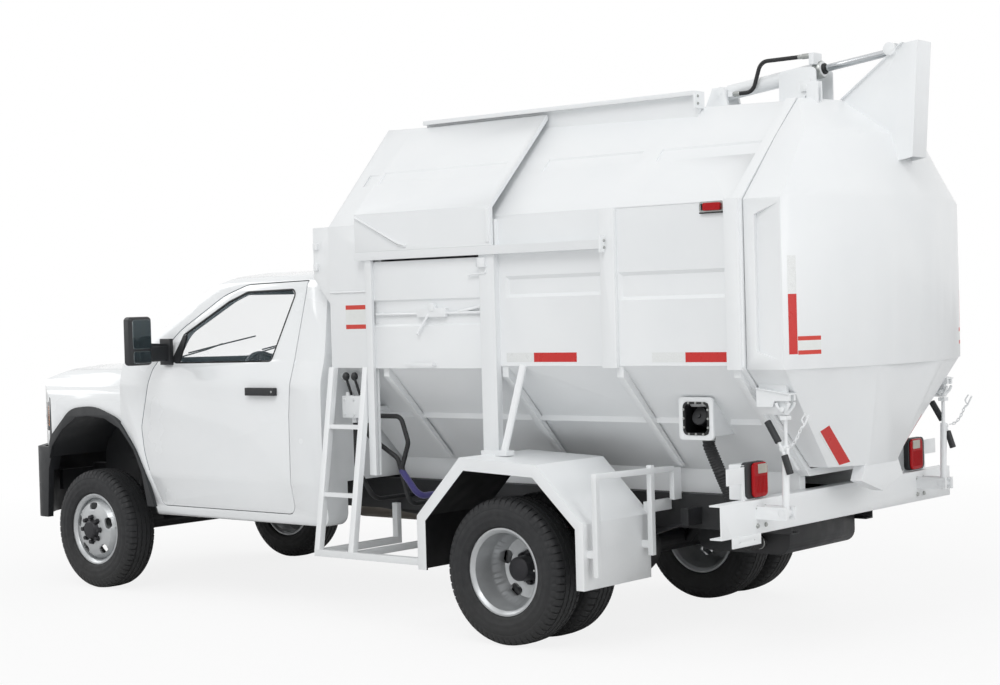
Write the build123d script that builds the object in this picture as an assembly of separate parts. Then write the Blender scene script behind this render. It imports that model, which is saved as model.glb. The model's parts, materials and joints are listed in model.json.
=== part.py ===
from build123d import *
import math
import os

os.makedirs("parts", exist_ok=True)

# Garbage truck, mm.  +X forward, +Y to the driver's side, +Z up, ground at Z 0.
# Stations are measured from the rear axle; save() moves them to the shared frame,
# whose origin is on the ground at the middle of the whole truck.

# ---- driving sizes -------------------------------------------------------
WHEELBASE = 3800
FRONT_OVERHANG = 980
REAR_OVERHANG = 1955
X_REAR_AXLE = -(FRONT_OVERHANG + WHEELBASE - REAR_OVERHANG) / 2
TYRE_R = 404
TYRE_W = 235
RIM_R = 240
RIM_W = 190
BEAD = RIM_W / 2 - 8.3
FRONT_TRACK = 1775
REAR_TRACK = 1885
DUAL_SPACING = 310
KINGPIN_Y = 765
HUB_BORE_R = 38
RUN_FIT = 0.05

RAIL_OUT = 432
RAIL_BOT = 600
RAIL_TOP = 790
RAIL_END = -1350

CAB_BACK = 1575
FIREWALL = 3480
CAB_HALF = 990
CAB_SKIN = 60
CAB_FLOOR = 800
ROCKER_Z = 530
DOOR_GAP = 6

BODY_FRONT = 1505
BODY_REAR = -1425
BODY_HALF = 950
BAND_BOT = 1510
BAND_TOP = 2345
ROOF_HALF = 400
ROOF_FRONT_Z = 2955
ROOF_REAR_Z = 2875
FLOOR_HALF = 360
FLOOR_Z = 920
WALL = 25
HOOD_FRONT = 1640

DOOR_X0 = 290
DOOR_X1 = 1111
DROP_TOP = 2120
COVER_X0 = 182
COVER_X1 = 1232
COVER_TRAVEL = 740

TAIL_STRIP = -1646
TAIL_BULGE = 240
TAIL_BOT = 1490
TAIL_GAP = 6
HINGE_X = -1425
HINGE_Z = 2950

LATCH_X = -1575
LATCH_Z = 768

EYE_X = -1800
EYE_Z = 3128
BASE_X = -722
BASE_Z = 3000

AXLE_F = WHEELBASE


# ---- small helpers -------------------------------------------------------
def box(x0, x1, y0, y1, z0, z1):
    return Pos((x0 + x1) / 2, (y0 + y1) / 2, (z0 + z1) / 2) * Box(
        abs(x1 - x0), abs(y1 - y0), abs(z1 - z0)
    )


def face(points, inset=0):
    # a point's third number, where it has one, is the radius that rounds its corner
    flat = make_face(Polyline(*[p[:2] for p in points], close=True))
    for radius in sorted({p[2] for p in points if len(p) > 2}):
        corners = [Vector(p[0], p[1]) for p in points if len(p) > 2 and p[2] == radius]
        rounded = [v for v in flat.vertices() if min((Vector(v) - c).length for c in corners) < 0.01]
        flat = fillet(rounded, radius)
    if inset:
        flat = offset(flat, amount=-inset, kind=Kind.INTERSECTION)
    return flat


def side_prism(points, y0, y1, inset=0):
    # outline given as (x, z)
    flat = Plane.XZ * face(points, inset)
    return extrude(Pos(0, y0, 0) * flat, amount=y1 - y0, dir=(0, 1, 0))


def cross_prism(points, x0, x1, inset=0):
    # outline given as (y, z)
    flat = Plane.YZ * face(points, inset)
    return extrude(Pos(x0, 0, 0) * flat, amount=x1 - x0, dir=(1, 0, 0))


def plan_prism(points, z0, z1, inset=0):
    # outline given as (x, y)
    return extrude(Pos(0, 0, z0) * face(points, inset), amount=z1 - z0, dir=(0, 0, 1))


def mirrored(points):
    # half outline with first number >= 0 closed over the centre plane
    return list(points) + [(-p[0], *p[1:]) for p in reversed(points) if p[0]]


def rod(a, b, r):
    start = Vector(*a)
    run = Vector(*b) - start
    return Plane(origin=start, z_dir=run) * Cylinder(
        r, run.length, align=(Align.CENTER, Align.CENTER, Align.MIN)
    )


def bar(a, b, w, h, up=(0, 0, 1)):
    # rectangular tube from a to b
    start = Vector(*a)
    run = Vector(*b) - start
    if abs(run.X) + abs(run.Y) < 1:
        up = (1, 0, 0)
    side = run.normalized().cross(Vector(*up)).normalized()
    return Plane(origin=start, x_dir=side, z_dir=run) * Box(
        w, h, run.length, align=(Align.CENTER, Align.CENTER, Align.MIN)
    )


def lathe_y(profile):
    # profile as (radius, y), turned about the Y axis
    flat = make_face(Polyline(*[(r, y, 0) for r, y in profile], close=True))
    return revolve(flat, axis=Axis.Y)


def hose(points, radii, r):
    path = FilletPolyline(*points, radius=radii)
    start = Vector(*points[0])
    run = Vector(*points[1]) - start
    return sweep(Plane(origin=start, z_dir=run) * Circle(r), path=path)


def fuse(pieces):
    pieces = list(pieces)
    return pieces[0].fuse(*pieces[1:]) if len(pieces) > 1 else pieces[0]


def mirror_y(shape):
    return mirror(shape, about=Plane.XZ)


def both(shape):
    return fuse([shape, mirror_y(shape)])


def save(name, shape):
    solids = shape.solids()
    placed = Pos(X_REAR_AXLE, 0, 0) * (Compound(children=list(solids)) if len(solids) > 1 else solids[0])
    export_step(placed, f"parts/{name}.step")
    low = placed.bounding_box().min
    high = placed.bounding_box().max
    print(name, len(solids), [round(v) for v in tuple(low)], [round(v) for v in tuple(high)])


# ---- wheels --------------------------------------------------------------
def tyre():
    half = TYRE_W / 2
    seat = RIM_R - 18
    wall = make_face(
        Polyline(
            (seat, -BEAD, 0), (RIM_R + 1, -BEAD, 0), (RIM_R + 5, -BEAD - 14, 0), (RIM_R + 28, -half + 5, 0),
            (RIM_R + 70, -half, 0),
            (TYRE_R - 52, -half + 4, 0), (TYRE_R - 16, -half + 20, 0), (TYRE_R - 3, -half + 46, 0),
            (TYRE_R, -20, 0), (TYRE_R, 20, 0), (TYRE_R - 3, half - 46, 0), (TYRE_R - 16, half - 20, 0),
            (TYRE_R - 52, half - 4, 0), (RIM_R + 70, half, 0), (RIM_R + 28, half - 5, 0),
            (RIM_R + 5, BEAD + 14, 0), (RIM_R + 1, BEAD, 0), (seat, BEAD, 0), close=True,
        )
    )
    return revolve(wall, axis=Axis.Y)


HOLES = 5


def rim(disc_out):
    # disc_out: how far the mounting face sits outboard of the wheel's middle
    half = RIM_W / 2
    barrel = lathe_y([
        (RIM_R, half), (RIM_R, half - 8), (RIM_R - 18.3, half - 8), (RIM_R - 18.3, -half + 8),
        (RIM_R, -half + 8), (RIM_R, -half), (RIM_R - 10, -half), (RIM_R - 28, -half + 16),
        (RIM_R - 28, half - 16), (RIM_R - 10, half),
    ])
    d = disc_out
    lip = min(max(d * 0.35, -half + 30), half - 30)
    disc = lathe_y([
        (RIM_R - 26, lip - 12), (RIM_R - 26, lip + 4), (175, d - 18), (120, d), (60, d),
        (60, d - 12), (116, d - 12), (168, d - 32),
    ])
    for k in range(HOLES):
        a = math.radians(360 / HOLES * k + 18)
        c = Vector(math.cos(a), 0, math.sin(a)) * 158
        hole = Plane(origin=(c.X, d - 80, c.Z), x_dir=(-math.sin(a), 0, math.cos(a)), z_dir=(0, 1, 0)) * SlotOverall(78, 46)
        disc = disc - extrude(hole, amount=130, dir=(0, 1, 0))
    return fuse([barrel, disc])


def lug_ring(y, out, count=8, radius=82.5):
    nuts = []
    for k in range(count):
        a = math.radians(360 / count * k)
        x = radius * math.cos(a)
        z = radius * math.sin(a)
        nuts.append(rod((x, y - 4, z), (x, y + out, z), 12))
    return nuts


def front_wheel():
    mid = FRONT_TRACK / 2
    face_y = 118
    hub = lathe_y([
        (HUB_BORE_R + RUN_FIT, 30), (95, 30), (95, face_y - 6), (72, face_y + 2), (58, face_y + 28),
        (50, face_y + 34), (0, face_y + 34), (0, face_y + 22), (HUB_BORE_R + RUN_FIT, face_y + 22),
    ])
    metal = fuse([rim(face_y), hub] + lug_ring(face_y, 24))
    return Pos(AXLE_F, mid, TYRE_R) * metal, Pos(AXLE_F, mid, TYRE_R) * tyre()


def rear_wheels():
    inner = REAR_TRACK / 2 - DUAL_SPACING / 2
    outer = REAR_TRACK / 2 + DUAL_SPACING / 2
    mount = DUAL_SPACING / 2
    rim_in = Pos(0, inner, 0) * rim(mount - 0.0)
    rim_out = Pos(0, outer, 0) * mirror_y(rim(mount))
    mid = REAR_TRACK / 2
    hub = lathe_y([
        (HUB_BORE_R + RUN_FIT, mid - 120), (100, mid - 120), (100, mid + 14), (74, mid + 20),
        (66, mid + 120), (52, mid + 128), (0, mid + 128), (0, mid + 112), (HUB_BORE_R + RUN_FIT, mid + 112),
    ])
    metal = fuse([rim_in, rim_out, hub] + lug_ring(mid + 12, 24))
    rubber = [Pos(0, inner, 0) * tyre(), Pos(0, outer, 0) * tyre()]
    return Pos(0, 0, TYRE_R) * metal, Pos(0, 0, TYRE_R) * Compound(children=rubber)


rim_f, tyre_f = front_wheel()
rim_r, tyre_r = rear_wheels()
for tag, flip in (("left", False), ("right", True)):
    for name, shape in (("front_rim", rim_f), ("front_tyre", tyre_f), ("rear_rims", rim_r), ("rear_tyres", tyre_r)):
        save(f"{name}_{tag}", mirror_y(shape) if flip else shape)


# ---- axles, knuckles, springs, driveline ---------------------------------
mid_f = FRONT_TRACK / 2
spindle = fuse([
    rod((AXLE_F, KINGPIN_Y + 52, TYRE_R), (AXLE_F, mid_f + 134, TYRE_R), HUB_BORE_R),
    rod((AXLE_F, KINGPIN_Y + 52, TYRE_R), (AXLE_F, mid_f + 20, TYRE_R), 70),
    box(AXLE_F - 45, AXLE_F + 45, KINGPIN_Y + 45, KINGPIN_Y + 62, TYRE_R - 105, TYRE_R + 105),
    box(AXLE_F - 40, AXLE_F + 40, KINGPIN_Y - 35, KINGPIN_Y + 55, TYRE_R + 72, TYRE_R + 100),
    box(AXLE_F - 40, AXLE_F + 40, KINGPIN_Y - 35, KINGPIN_Y + 55, TYRE_R - 100, TYRE_R - 72),
    rod((AXLE_F, KINGPIN_Y, TYRE_R - 98), (AXLE_F, KINGPIN_Y, TYRE_R + 98), 20),
    bar((AXLE_F - 20, KINGPIN_Y - 10, TYRE_R - 86), (AXLE_F - 150, KINGPIN_Y - 45, TYRE_R - 86), 40, 24),
])
save("knuckle_left", spindle)
save("knuckle_right", mirror_y(spindle))

front_beam = rod((AXLE_F, -KINGPIN_Y + 20, TYRE_R), (AXLE_F, KINGPIN_Y - 20, TYRE_R), 45)
king_boss = rod((AXLE_F, KINGPIN_Y, TYRE_R - 66), (AXLE_F, KINGPIN_Y, TYRE_R + 66), 38)
king_bore = rod((AXLE_F, KINGPIN_Y, TYRE_R - 90), (AXLE_F, KINGPIN_Y, TYRE_R + 90), 20 + RUN_FIT)
coil_pad = box(AXLE_F - 68, AXLE_F + 68, 442, 578, TYRE_R + 20, TYRE_R + 50)
front_axle = fuse([front_beam, king_boss, mirror_y(king_boss), coil_pad, mirror_y(coil_pad)])
front_axle = front_axle - king_bore - mirror_y(king_bore)
hub_in = REAR_TRACK / 2
rear_axle = fuse([
    rod((0, -hub_in + 130, TYRE_R), (0, hub_in - 130, TYRE_R), 62),
    rod((0, -hub_in - 108, TYRE_R), (0, hub_in + 108, TYRE_R), HUB_BORE_R),
    Pos(0, 0, TYRE_R) * Sphere(165),
    rod((0, 0, TYRE_R), (210, 0, TYRE_R + 20), 75),
])
shaft = rod((205, 0, TYRE_R + 20), (2476, 0, 620), 45)
rear_axle = fuse([rear_axle, shaft])
save("axles", Compound(children=[front_axle.solids()[0], rear_axle.solids()[0]]))

SPRING_Y = 520
spring = side_prism(
    [(-760, 640), (-400, 520), (0, 468), (400, 520), (760, 640), (760, 655), (400, 560), (0, 520), (-400, 560), (-760, 655)],
    SPRING_Y - 38, SPRING_Y + 38,
)
hanger_f = box(735, 785, RAIL_OUT, SPRING_Y + 42, 630, 720)
hanger_r = box(-785, -735, RAIL_OUT, SPRING_Y + 42, 630, 720)
seat_r = box(-60, 60, SPRING_Y - 45, SPRING_Y + 45, 400, 475)
damper_r = rod((-60, 478, 400), (-330, 464, 730), 28)
coil_f = rod((AXLE_F, 510, TYRE_R + 50), (AXLE_F, 510, 860), 65)
tower_f = box(AXLE_F - 90, AXLE_F + 90, RAIL_OUT, 590, 840, 860)
tower_web = box(AXLE_F - 90, AXLE_F - 78, RAIL_OUT, 590, 700, 860)
springs = fuse([spring, hanger_f, hanger_r, seat_r, damper_r]) - rod((0, 300, TYRE_R), (0, 700, TYRE_R), 62)
fronts = fuse([coil_f, tower_f, tower_web])
suspension = [springs, mirror_y(springs), fronts, mirror_y(fronts)]
save("suspension", Compound(children=[s for p in suspension for s in p.solids()]))

EXHAUST_Y = -235
muffler = fuse([
    rod((3500, EXHAUST_Y, 660), (3395, EXHAUST_Y, 660), 30), rod((3400, EXHAUST_Y, 660), (3295, EXHAUST_Y, 558), 30),
    rod((3300, EXHAUST_Y, 560), (2400, EXHAUST_Y, 530), 30), rod((2430, EXHAUST_Y, 530), (1800, EXHAUST_Y, 530), 92),
    rod((1950, EXHAUST_Y, 530), (900, EXHAUST_Y, 545), 33), rod((905, EXHAUST_Y, 545), (730, -600, 545), 33),
    box(2280, 2320, EXHAUST_Y - 10, EXHAUST_Y + 10, 600, RAIL_BOT + 60),
    box(1385, 1415, EXHAUST_Y - 8, EXHAUST_Y + 8, 545, RAIL_BOT + 60),
])
save("exhaust", muffler)
save("engine", fuse([box(3500, 4300, -300, 300, 600, 1180), box(2480, 3520, -190, 190, 560, 790)]))

# ---- chassis frame -------------------------------------------------------
rail = fuse([
    box(RAIL_END, 4520, RAIL_OUT - 8, RAIL_OUT, RAIL_BOT, RAIL_TOP),
    box(RAIL_END, 4520, RAIL_OUT - 75, RAIL_OUT, RAIL_BOT, RAIL_BOT + 8),
    box(RAIL_END, 4520, RAIL_OUT - 75, RAIL_OUT, RAIL_TOP - 8, RAIL_TOP),
])
cross_at = (-1318, -560, 620, 1400, 2300, 4480)
members = [box(x - 25, x + 25, -RAIL_OUT + 4, RAIL_OUT - 4, RAIL_BOT + 60, RAIL_TOP - 20) for x in cross_at]
members.append(box(3560, 3640, -RAIL_OUT + 4, RAIL_OUT - 4, RAIL_BOT - 60, RAIL_BOT))
sill = box(BODY_REAR + 66, BODY_FRONT - 10, 300, 360, RAIL_TOP, FLOOR_Z)
save("frame", fuse([rail, mirror_y(rail)] + members + [sill, mirror_y(sill)]))

# ---- cab -----------------------------------------------------------------
CAB_SIDE = [
    (CAB_BACK, ROCKER_Z, 80), (CAB_BACK, 1600, 400), (CAB_BACK + 48, 2080, 90), (1980, 2106, 900), (2440, 2098, 500),
    (2700, 2002, 300), (FIREWALL, 1525), (FIREWALL, ROCKER_Z),
]
CAB_CROSS = mirrored([
    (0, ROCKER_Z), (935, ROCKER_Z, 25), (CAB_HALF, 800, 250), (CAB_HALF, 1400, 260), (952, 1545, 160), (846, 2062, 110),
    (600, 2102, 700), (0, 2112),
])


def cab_block(inset):
    whole = side_prism(CAB_SIDE, -CAB_HALF - 20, CAB_HALF + 20, inset)
    return whole & cross_prism(CAB_CROSS, CAB_BACK - 50, FIREWALL + 50, inset)


DOOR_FRONT = 3262
DOOR_HINGE = (DOOR_FRONT - 6, CAB_HALF)
DOOR_REACH = 1462
DOOR_LINE = [
    (1860, 600, 60), (3108, 600, 40), (3240, 950, 400), (DOOR_FRONT, 1110, 120), (3160, 1490, 90), (2965, 1722, 500),
    (2545, 1955, 500), (2335, 2020, 200), (1800, 2030), (1800, 1960), (1860, 1200, 300),
]
WINDOW_LINE = [
    (2040, 1540, 40), (2985, 1530, 30), (2895, 1712, 200), (2495, 1918, 500), (2330, 1975, 200), (1880, 1982, 45),
]

cab_outer = cab_block(0)
cab_inner = cab_block(CAB_SKIN)
floor_pan = box(CAB_BACK, FIREWALL, -CAB_HALF, CAB_HALF, CAB_FLOOR, CAB_FLOOR + 40) & cab_outer
skin = cab_outer - cab_inner
under = box(CAB_BACK - 10, FIREWALL + 10, -780, 780, 0, CAB_FLOOR)
skin = fuse([skin - under, floor_pan])
door_cut = side_prism(DOOR_LINE, 700, 1100)
door_hole = side_prism(DOOR_LINE, 700, 1100, -DOOR_GAP)
window_cut = side_prism(WINDOW_LINE, 600, 1100)
# the door's inner corners stay inside the circle that its rear edge swings on
swing_room = Pos(DOOR_HINGE[0], DOOR_HINGE[1], 1300) * Cylinder(DOOR_REACH, 2000)
door_shell = (cab_outer - cab_inner) & door_cut & swing_room
door_shell = door_shell - window_cut
screen_cut = cross_prism(mirrored([(0, 1545), (800, 1560), (720, 1985), (0, 2000)]), 2640, 3700)
rear_cut = cross_prism(mirrored([(0, 1560), (700, 1560), (660, 1960), (0, 1960)]), CAB_BACK - 60, CAB_BACK + 200)
cab_skin = skin - door_hole - mirror_y(door_hole) - screen_cut - rear_cut

glass_slab = cross_prism([(951, 1480), (849, 2020), (841, 2020), (943, 1480)], 1500, 3600)
door_pane = glass_slab & side_prism(WINDOW_LINE, 700, 1100, -14)
door_shell = door_shell - door_pane
save("door_left", door_shell)
save("door_right", mirror_y(door_shell))
save("door_glass_left", door_pane)
save("door_glass_right", mirror_y(door_pane))

screen_slab = side_prism([(3470, 1506), (2678, 1987), (2672, 1979), (3464, 1498)], -850, 850)
screen_pane = screen_slab & cross_prism(mirrored([(0, 1536), (812, 1550), (730, 1995), (0, 2010)]), 2600, 3700)
rear_pane = side_prism([(CAB_BACK + 20, 1545), (CAB_BACK + 57, 1975), (CAB_BACK + 49, 1975), (CAB_BACK + 12, 1545)], -715, 715)
glass = [screen_pane & cab_outer, rear_pane & cab_outer]
cab_skin = cab_skin - glass[0] - glass[1]
save("cab_glass", Compound(children=[s for g in glass for s in g.solids()]))

# ---- front clip: wings, cowl, hood ---------------------------------------
CLIP_SIDE = [
    (FIREWALL - 2, 560), (FIREWALL - 2, 1528), (3700, 1531, 900), (4200, 1506, 900), (4480, 1420, 500), (4694, 1288, 45),
    (4705, 960, 30), (4600, 930, 80), (4400, 800), (4250, 560),
]
CLIP_CROSS = mirrored([
    (0, 500), (CAB_HALF, 500), (CAB_HALF, 1250, 120), (940, 1345, 60), (880, 1362, 50), (790, 1480, 110), (600, 1512, 500),
    (0, 1535),
])


def nose(points):
    # half outline from the rear corner to the nose's middle, closed on the other side
    return list(points) + [(p[0], -p[1], *p[2:]) for p in reversed(points) if p[1]]


CLIP_PLAN = nose([
    (FIREWALL - 10, CAB_HALF - 14), (3620, CAB_HALF - 2, 900), (4280, CAB_HALF - 2, 420), (4560, 800, 260), (4676, 420, 500),
    (4702, 0),
])


def clip_block(inset):
    whole = side_prism(CLIP_SIDE, -CAB_HALF - 10, CAB_HALF + 10, inset) & cross_prism(CLIP_CROSS, 3400, 4800, inset)
    return whole & plan_prism(CLIP_PLAN, 400, 1600, inset)


clip_outer = clip_block(0)
clip_inner = clip_block(22)
bay = box(FIREWALL + 15, 4900, -505, 505, 400, 1560)
arch_line = [(3200, 300), (3200, 560), (3262, 810), (3340, 960), (3480, 1100), (3640, 1165), (3830, 1180), (3960, 1165),
             (4110, 1080), (4230, 960), (4290, 800), (4330, 300)]
arch = side_prism(arch_line, 515, 1100)
liner = side_prism(arch_line, 505, 980, -12) - side_prism(arch_line, 500, 1100)
HOOD_HALF = 760
hood_zone = box(FIREWALL + 65, 4660, -HOOD_HALF, HOOD_HALF, 1200, 1600)
hood_gap = box(FIREWALL + 22, 4666, -HOOD_HALF - 6, HOOD_HALF + 6, 1180, 1600)
clip_skin = clip_outer - clip_inner
hood = clip_skin & hood_zone
hood = hood & box(3400, 4800, -900, 900, 1270, 1700)
hood_void = hood_gap & box(3400, 4800, -900, 900, 1264, 1700)
wings = clip_skin - hood_void - arch - mirror_y(arch)
wings = wings - box(4560, 4800, -430, 430, 985, 1262) - box(3470, 4640, -515, 515, 400, 985)
HOOD_PIN = (3524, 1490)
pins = []
blocks = []
for y in (-600, 600):
    pins.append(rod((HOOD_PIN[0], y - 28, HOOD_PIN[1]), (HOOD_PIN[0], y + 28, HOOD_PIN[1]), 8))
    px, pz = HOOD_PIN
    arm_line = [(px - 8, pz - 8), (px + 36, pz - 8), (px + 36, pz + 25), (px + 21, pz + 25), (px + 8, pz + 10), (px - 8, pz + 10)]
    pins.append(side_prism(arm_line, y - 6, y + 6))
    for side in (-1, 1):
        ear_h = box(FIREWALL + 10, HOOD_PIN[0] + 14, y + side * 18 - 9, y + side * 18 + 9, HOOD_PIN[1] - 16, HOOD_PIN[1] + 12)
        blocks.append(ear_h - rod((HOOD_PIN[0], y - 60, HOOD_PIN[1]), (HOOD_PIN[0], y + 60, HOOD_PIN[1]), 8 + RUN_FIT))
hood = fuse([hood] + pins)
lamp_zone = box(4300, 4700, 560, 1000, 1062, 1262)
lamp = (clip_outer - clip_block(60)) & lamp_zone
wings = wings - lamp_zone - mirror_y(lamp_zone)
coil_hole = box(AXLE_F - 97, AXLE_F + 97, 400, 620, 300, 866)
house = side_prism(arch_line, 505, 1100, -12)
liner_wall = box(3190, 4330, 505, 515, 560, 1170) & side_prism(arch_line, 400, 600)
liner_body = fuse([liner & clip_outer, liner & cab_outer, liner_wall & clip_outer, liner_wall & cab_outer])
bumper_zone = box(4258, 4900, -1100, 1100, 300, 952)
liner_body = liner_body - coil_hole - mirror_y(coil_hole) - bumper_zone
wings = wings - coil_hole - mirror_y(coil_hole) - bumper_zone
cab_skin = cab_skin - house - mirror_y(house)
wings = wings - cab_outer
save("cab", cab_skin)
save("front_wings", fuse([wings, liner_body, mirror_y(liner_body)] + blocks))
save("hood", hood)
lamp = lamp & lamp_zone

# ---- front bumper, grille, arch flares -----------------------------------
BUMPER_PLAN = nose([(4250, CAB_HALF - 4), (4440, CAB_HALF - 12, 160), (4690, 680, 300), (4756, 350, 500), (4780, 0)])
bumper = plan_prism(BUMPER_PLAN, 460, 950) - plan_prism(BUMPER_PLAN, 400, 1000, 45)
bumper = bumper - box(4200, 4330, -900, 900, 400, 1000) - side_prism(arch_line, -1100, 1100, -4)
bumper = bumper & box(4260, 4900, -1100, 1100, 400, 1000)
beam_f = box(4520, 4560, -700, 700, 620, 760)
brackets = [box(4540, 4755, y - 30, y + 30, 640, 740) for y in (-400, 400)]
flare_line = [(3145, 590), (3237, 810, 300), (3335, 973, 500), (3500, 1160, 300), (3760, 1246, 500), (4010, 1224, 250),
              (4258, 1012, 120), (4258, 590)]
flare = side_prism(flare_line, CAB_HALF - 15, CAB_HALF + 14) - side_prism(arch_line, 900, CAB_HALF + 110, 4)
flare = flare - clip_outer - cab_outer
bars = [box(4600, 4690, -428, 428, z, z + 22) for z in (1000, 1052, 1104, 1156, 1208)]
posts = [box(4610, 4680, y - 12, y + 12, 985, 1245) for y in (-330, 0, 330)]
surround = box(4600, 4690, -429, 429, 986, 1261) - box(4500, 4800, -400, 400, 1000, 1245)
grille = fuse([surround] + bars + posts)
save("front_trim", Compound(children=[s for g in (fuse([bumper, beam_f] + brackets), flare, mirror_y(flare), grille)
                                       for s in g.solids()]))

# ---- mirrors, cab inside -------------------------------------------------
head = fillet(box(2975, 3060, 1110, 1290, 1525, 1838).edges(), 26)
arm = fuse([bar((3010, 940, 1640), (3010, 1130, 1650), 40, 30), bar((3010, 960, 1560), (3010, 1130, 1570), 40, 30),
            box(2960, 3060, 958, 985, 1520, 1690)])
handle = box(1955, 2215, CAB_HALF + 2, CAB_HALF + 30, 1330, 1378)
grip_ends = [box(1955, 1990, CAB_HALF - 12, CAB_HALF + 10, 1335, 1373), box(2180, 2215, CAB_HALF - 12, CAB_HALF + 10, 1335, 1373)]
mirror_left = fuse([head, arm]) - door_shell
handle_left = fuse([handle] + grip_ends) - door_shell
side_black = Compound(children=[s for g in (mirror_left, handle_left) for s in g.solids()])
save("mirror_left", side_black)
save("mirror_right", mirror_y(side_black))

cushion = box(1720, 2300, -700, 700, 980, 1150)
back = side_prism([(1645, 1000), (1800, 1000), (1760, 1700), (1655, 1700)], -700, 700)
base = box(1700, 2200, -650, 650, CAB_FLOOR + 40, 985)
save("seat", fuse([cushion, back, base]))
dash = side_prism([(3415, 900), (3415, 1480), (3000, 1430), (2960, 1330), (3060, 1080), (3120, 1060), (3120, 900)], -880, 880)
column = rod((3100, 380, 1250), (2700, 380, 1400), 32)
wheel_plane = Plane(origin=(2700, 380, 1400), z_dir=(-400, 0, 150))
steer = wheel_plane * (Torus(185, 15) + Cylinder(55, 40) + Box(360, 34, 20))
feet = [box(3130, 3230, y - 20, y + 20, CAB_FLOOR + 40, 905) for y in (-600, 600)]
save("dashboard", fuse([dash, column, steer] + feet) - house - mirror_y(house))

# ---- refuse body ---------------------------------------------------------
def tank(x0, x1, inset, band_inset=None):
    def section(x, roof_z):
        s = 0.93 * inset
        k = inset * 0.41
        pts = mirrored([
            (FLOOR_HALF - k, FLOOR_Z + inset), (BODY_HALF - inset, BAND_BOT + k), (BODY_HALF - inset, BAND_TOP - k),
            (ROOF_HALF - k, roof_z - inset),
        ])
        return Pos(x, 0, 0) * (Plane.YZ * face([(y, z) for y, z in pts]))

    def roof(x):
        t = (x - BODY_REAR) / (BODY_FRONT - BODY_REAR)
        return ROOF_REAR_Z + t * (ROOF_FRONT_Z - ROOF_REAR_Z)

    return loft([section(x0, roof(x0)), section(x1, roof(x1))], ruled=True)


top_box = box(BODY_FRONT - 40, HOOD_FRONT, -BODY_HALF, BODY_HALF, 2180, BAND_TOP) - box(
    BODY_FRONT - 100, HOOD_FRONT - WALL, -BODY_HALF + WALL, BODY_HALF - WALL, 2205, BAND_TOP - WALL)
cheek = side_prism([(BODY_FRONT - 40, BAND_TOP), (HOOD_FRONT, BAND_TOP), (HOOD_FRONT, 2040), (BODY_FRONT, 1880), (BODY_FRONT - 40, 1880)],
                   BODY_HALF - WALL, BODY_HALF)
load_low = box(DOOR_X0 + 35, DOOR_X1 - 35, 850, 1100, BAND_BOT + 30, BAND_TOP - 40)
load_high = cross_prism([(BODY_HALF + 60, BAND_TOP - 40), (430, 2870), (330, 2700), (BODY_HALF - 130, BAND_TOP - 60)], DOOR_X0 + 35, DOOR_X1 - 35)
PRESS_DEPTH = 14
PRESS_SIDES = [(-1336, -646, 1854, 2005), (-554, 133, 1887, 2009), (1202, 1395, 1876, 2018)]
PRESS_SLOPES = [(-1400, -730), (-611, 39), (1345, 1420)]
SLOPE_BAND = (2589, 2662)
SLOPE_DEPTH = 8


def side_pressing(x0, x1, z0, z1, y, deep):
    # a shallow tray pushed into an upright panel: its edges slope in by as much as it is deep
    rims = [(y + 1, 0), (y - deep, deep + 6)]
    trays = [Plane(origin=((x0 + x1) / 2, at, (z0 + z1) / 2), x_dir=(1, 0, 0), z_dir=(0, 1, 0)) * Rectangle(
        x1 - x0 - 2 * step, z1 - z0 - 2 * step) for at, step in rims]
    return loft(trays, ruled=True)


def roof_edge_z(x):
    return ROOF_REAR_Z + (x - BODY_REAR) / (BODY_FRONT - BODY_REAR) * (ROOF_FRONT_Z - ROOF_REAR_Z)


def slope_pressing(x0, x1, z0, z1, deep):
    # the same on the sloping panel, between two stations along the body
    def section(x):
        rise = roof_edge_z(x) - BAND_TOP
        reach = BODY_HALF - ROOF_HALF
        size = math.hypot(rise, reach)
        out = Vector(rise / size, reach / size)

        def at(z, d):
            y = BODY_HALF - (z - BAND_TOP) / rise * reach
            return (y + out.X * d, z + out.Y * d)

        return Pos(x, 0, 0) * (Plane.YZ * face([at(z0, 1), at(z0 + deep, -deep), at(z1 - deep, -deep), at(z1, 1)]))

    return loft([section(x0), section(x1)], ruled=True)


trays = [side_pressing(x0, x1, z0, z1, BODY_HALF, PRESS_DEPTH) for x0, x1, z0, z1 in PRESS_SIDES]
trays = trays + [slope_pressing(x0, x1, *SLOPE_BAND, SLOPE_DEPTH) for x0, x1 in PRESS_SLOPES]
shell = tank(BODY_REAR, BODY_FRONT, 0) - tank(BODY_REAR - 30, BODY_FRONT - WALL, WALL)
shell = shell - load_low - mirror_y(load_low) - load_high - mirror_y(load_high)
frame_posts = []
for x0, x1, z0, z1 in ((178, 288, 2133, BAND_TOP - 20), (-640, -545, BAND_BOT - 10, BAND_TOP - 5), (-1415, -1328, BAND_BOT - 20, BAND_TOP + 6)):
    frame_posts.append(box(x0, x1, BODY_HALF - 3, BODY_HALF + 26, z0, z1))
groove = box(DOOR_X0 - 16, DOOR_X1 + 28, BODY_HALF + 5.7, BODY_HALF + 24.3, 800, 2131)
guide = box(DOOR_X1 + 8, DOOR_X1 + 60, BODY_HALF - 3, BODY_HALF + 45, 870, 2134) - groove
frame_posts.append(box(178, 288, BODY_HALF - 3, BODY_HALF + 40, 1040, 2134) - groove)
side_plate = box(DOOR_X1 + 8, BODY_FRONT, BODY_HALF - 3, BODY_HALF + 3, BAND_BOT - 10, BAND_TOP)
mid_rail = box(-570, 1242, BODY_HALF - 3, BODY_HALF + 58, 2132, 2180)
roof_rail = box(-840, 1132, ROOF_HALF + 5, ROOF_HALF + 55, 2838, 2962)
rear_ring = tank(BODY_REAR, BODY_REAR + 60, -14) - tank(BODY_REAR - 30, BODY_REAR + 90, WALL)
slope_ribs = []
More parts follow.
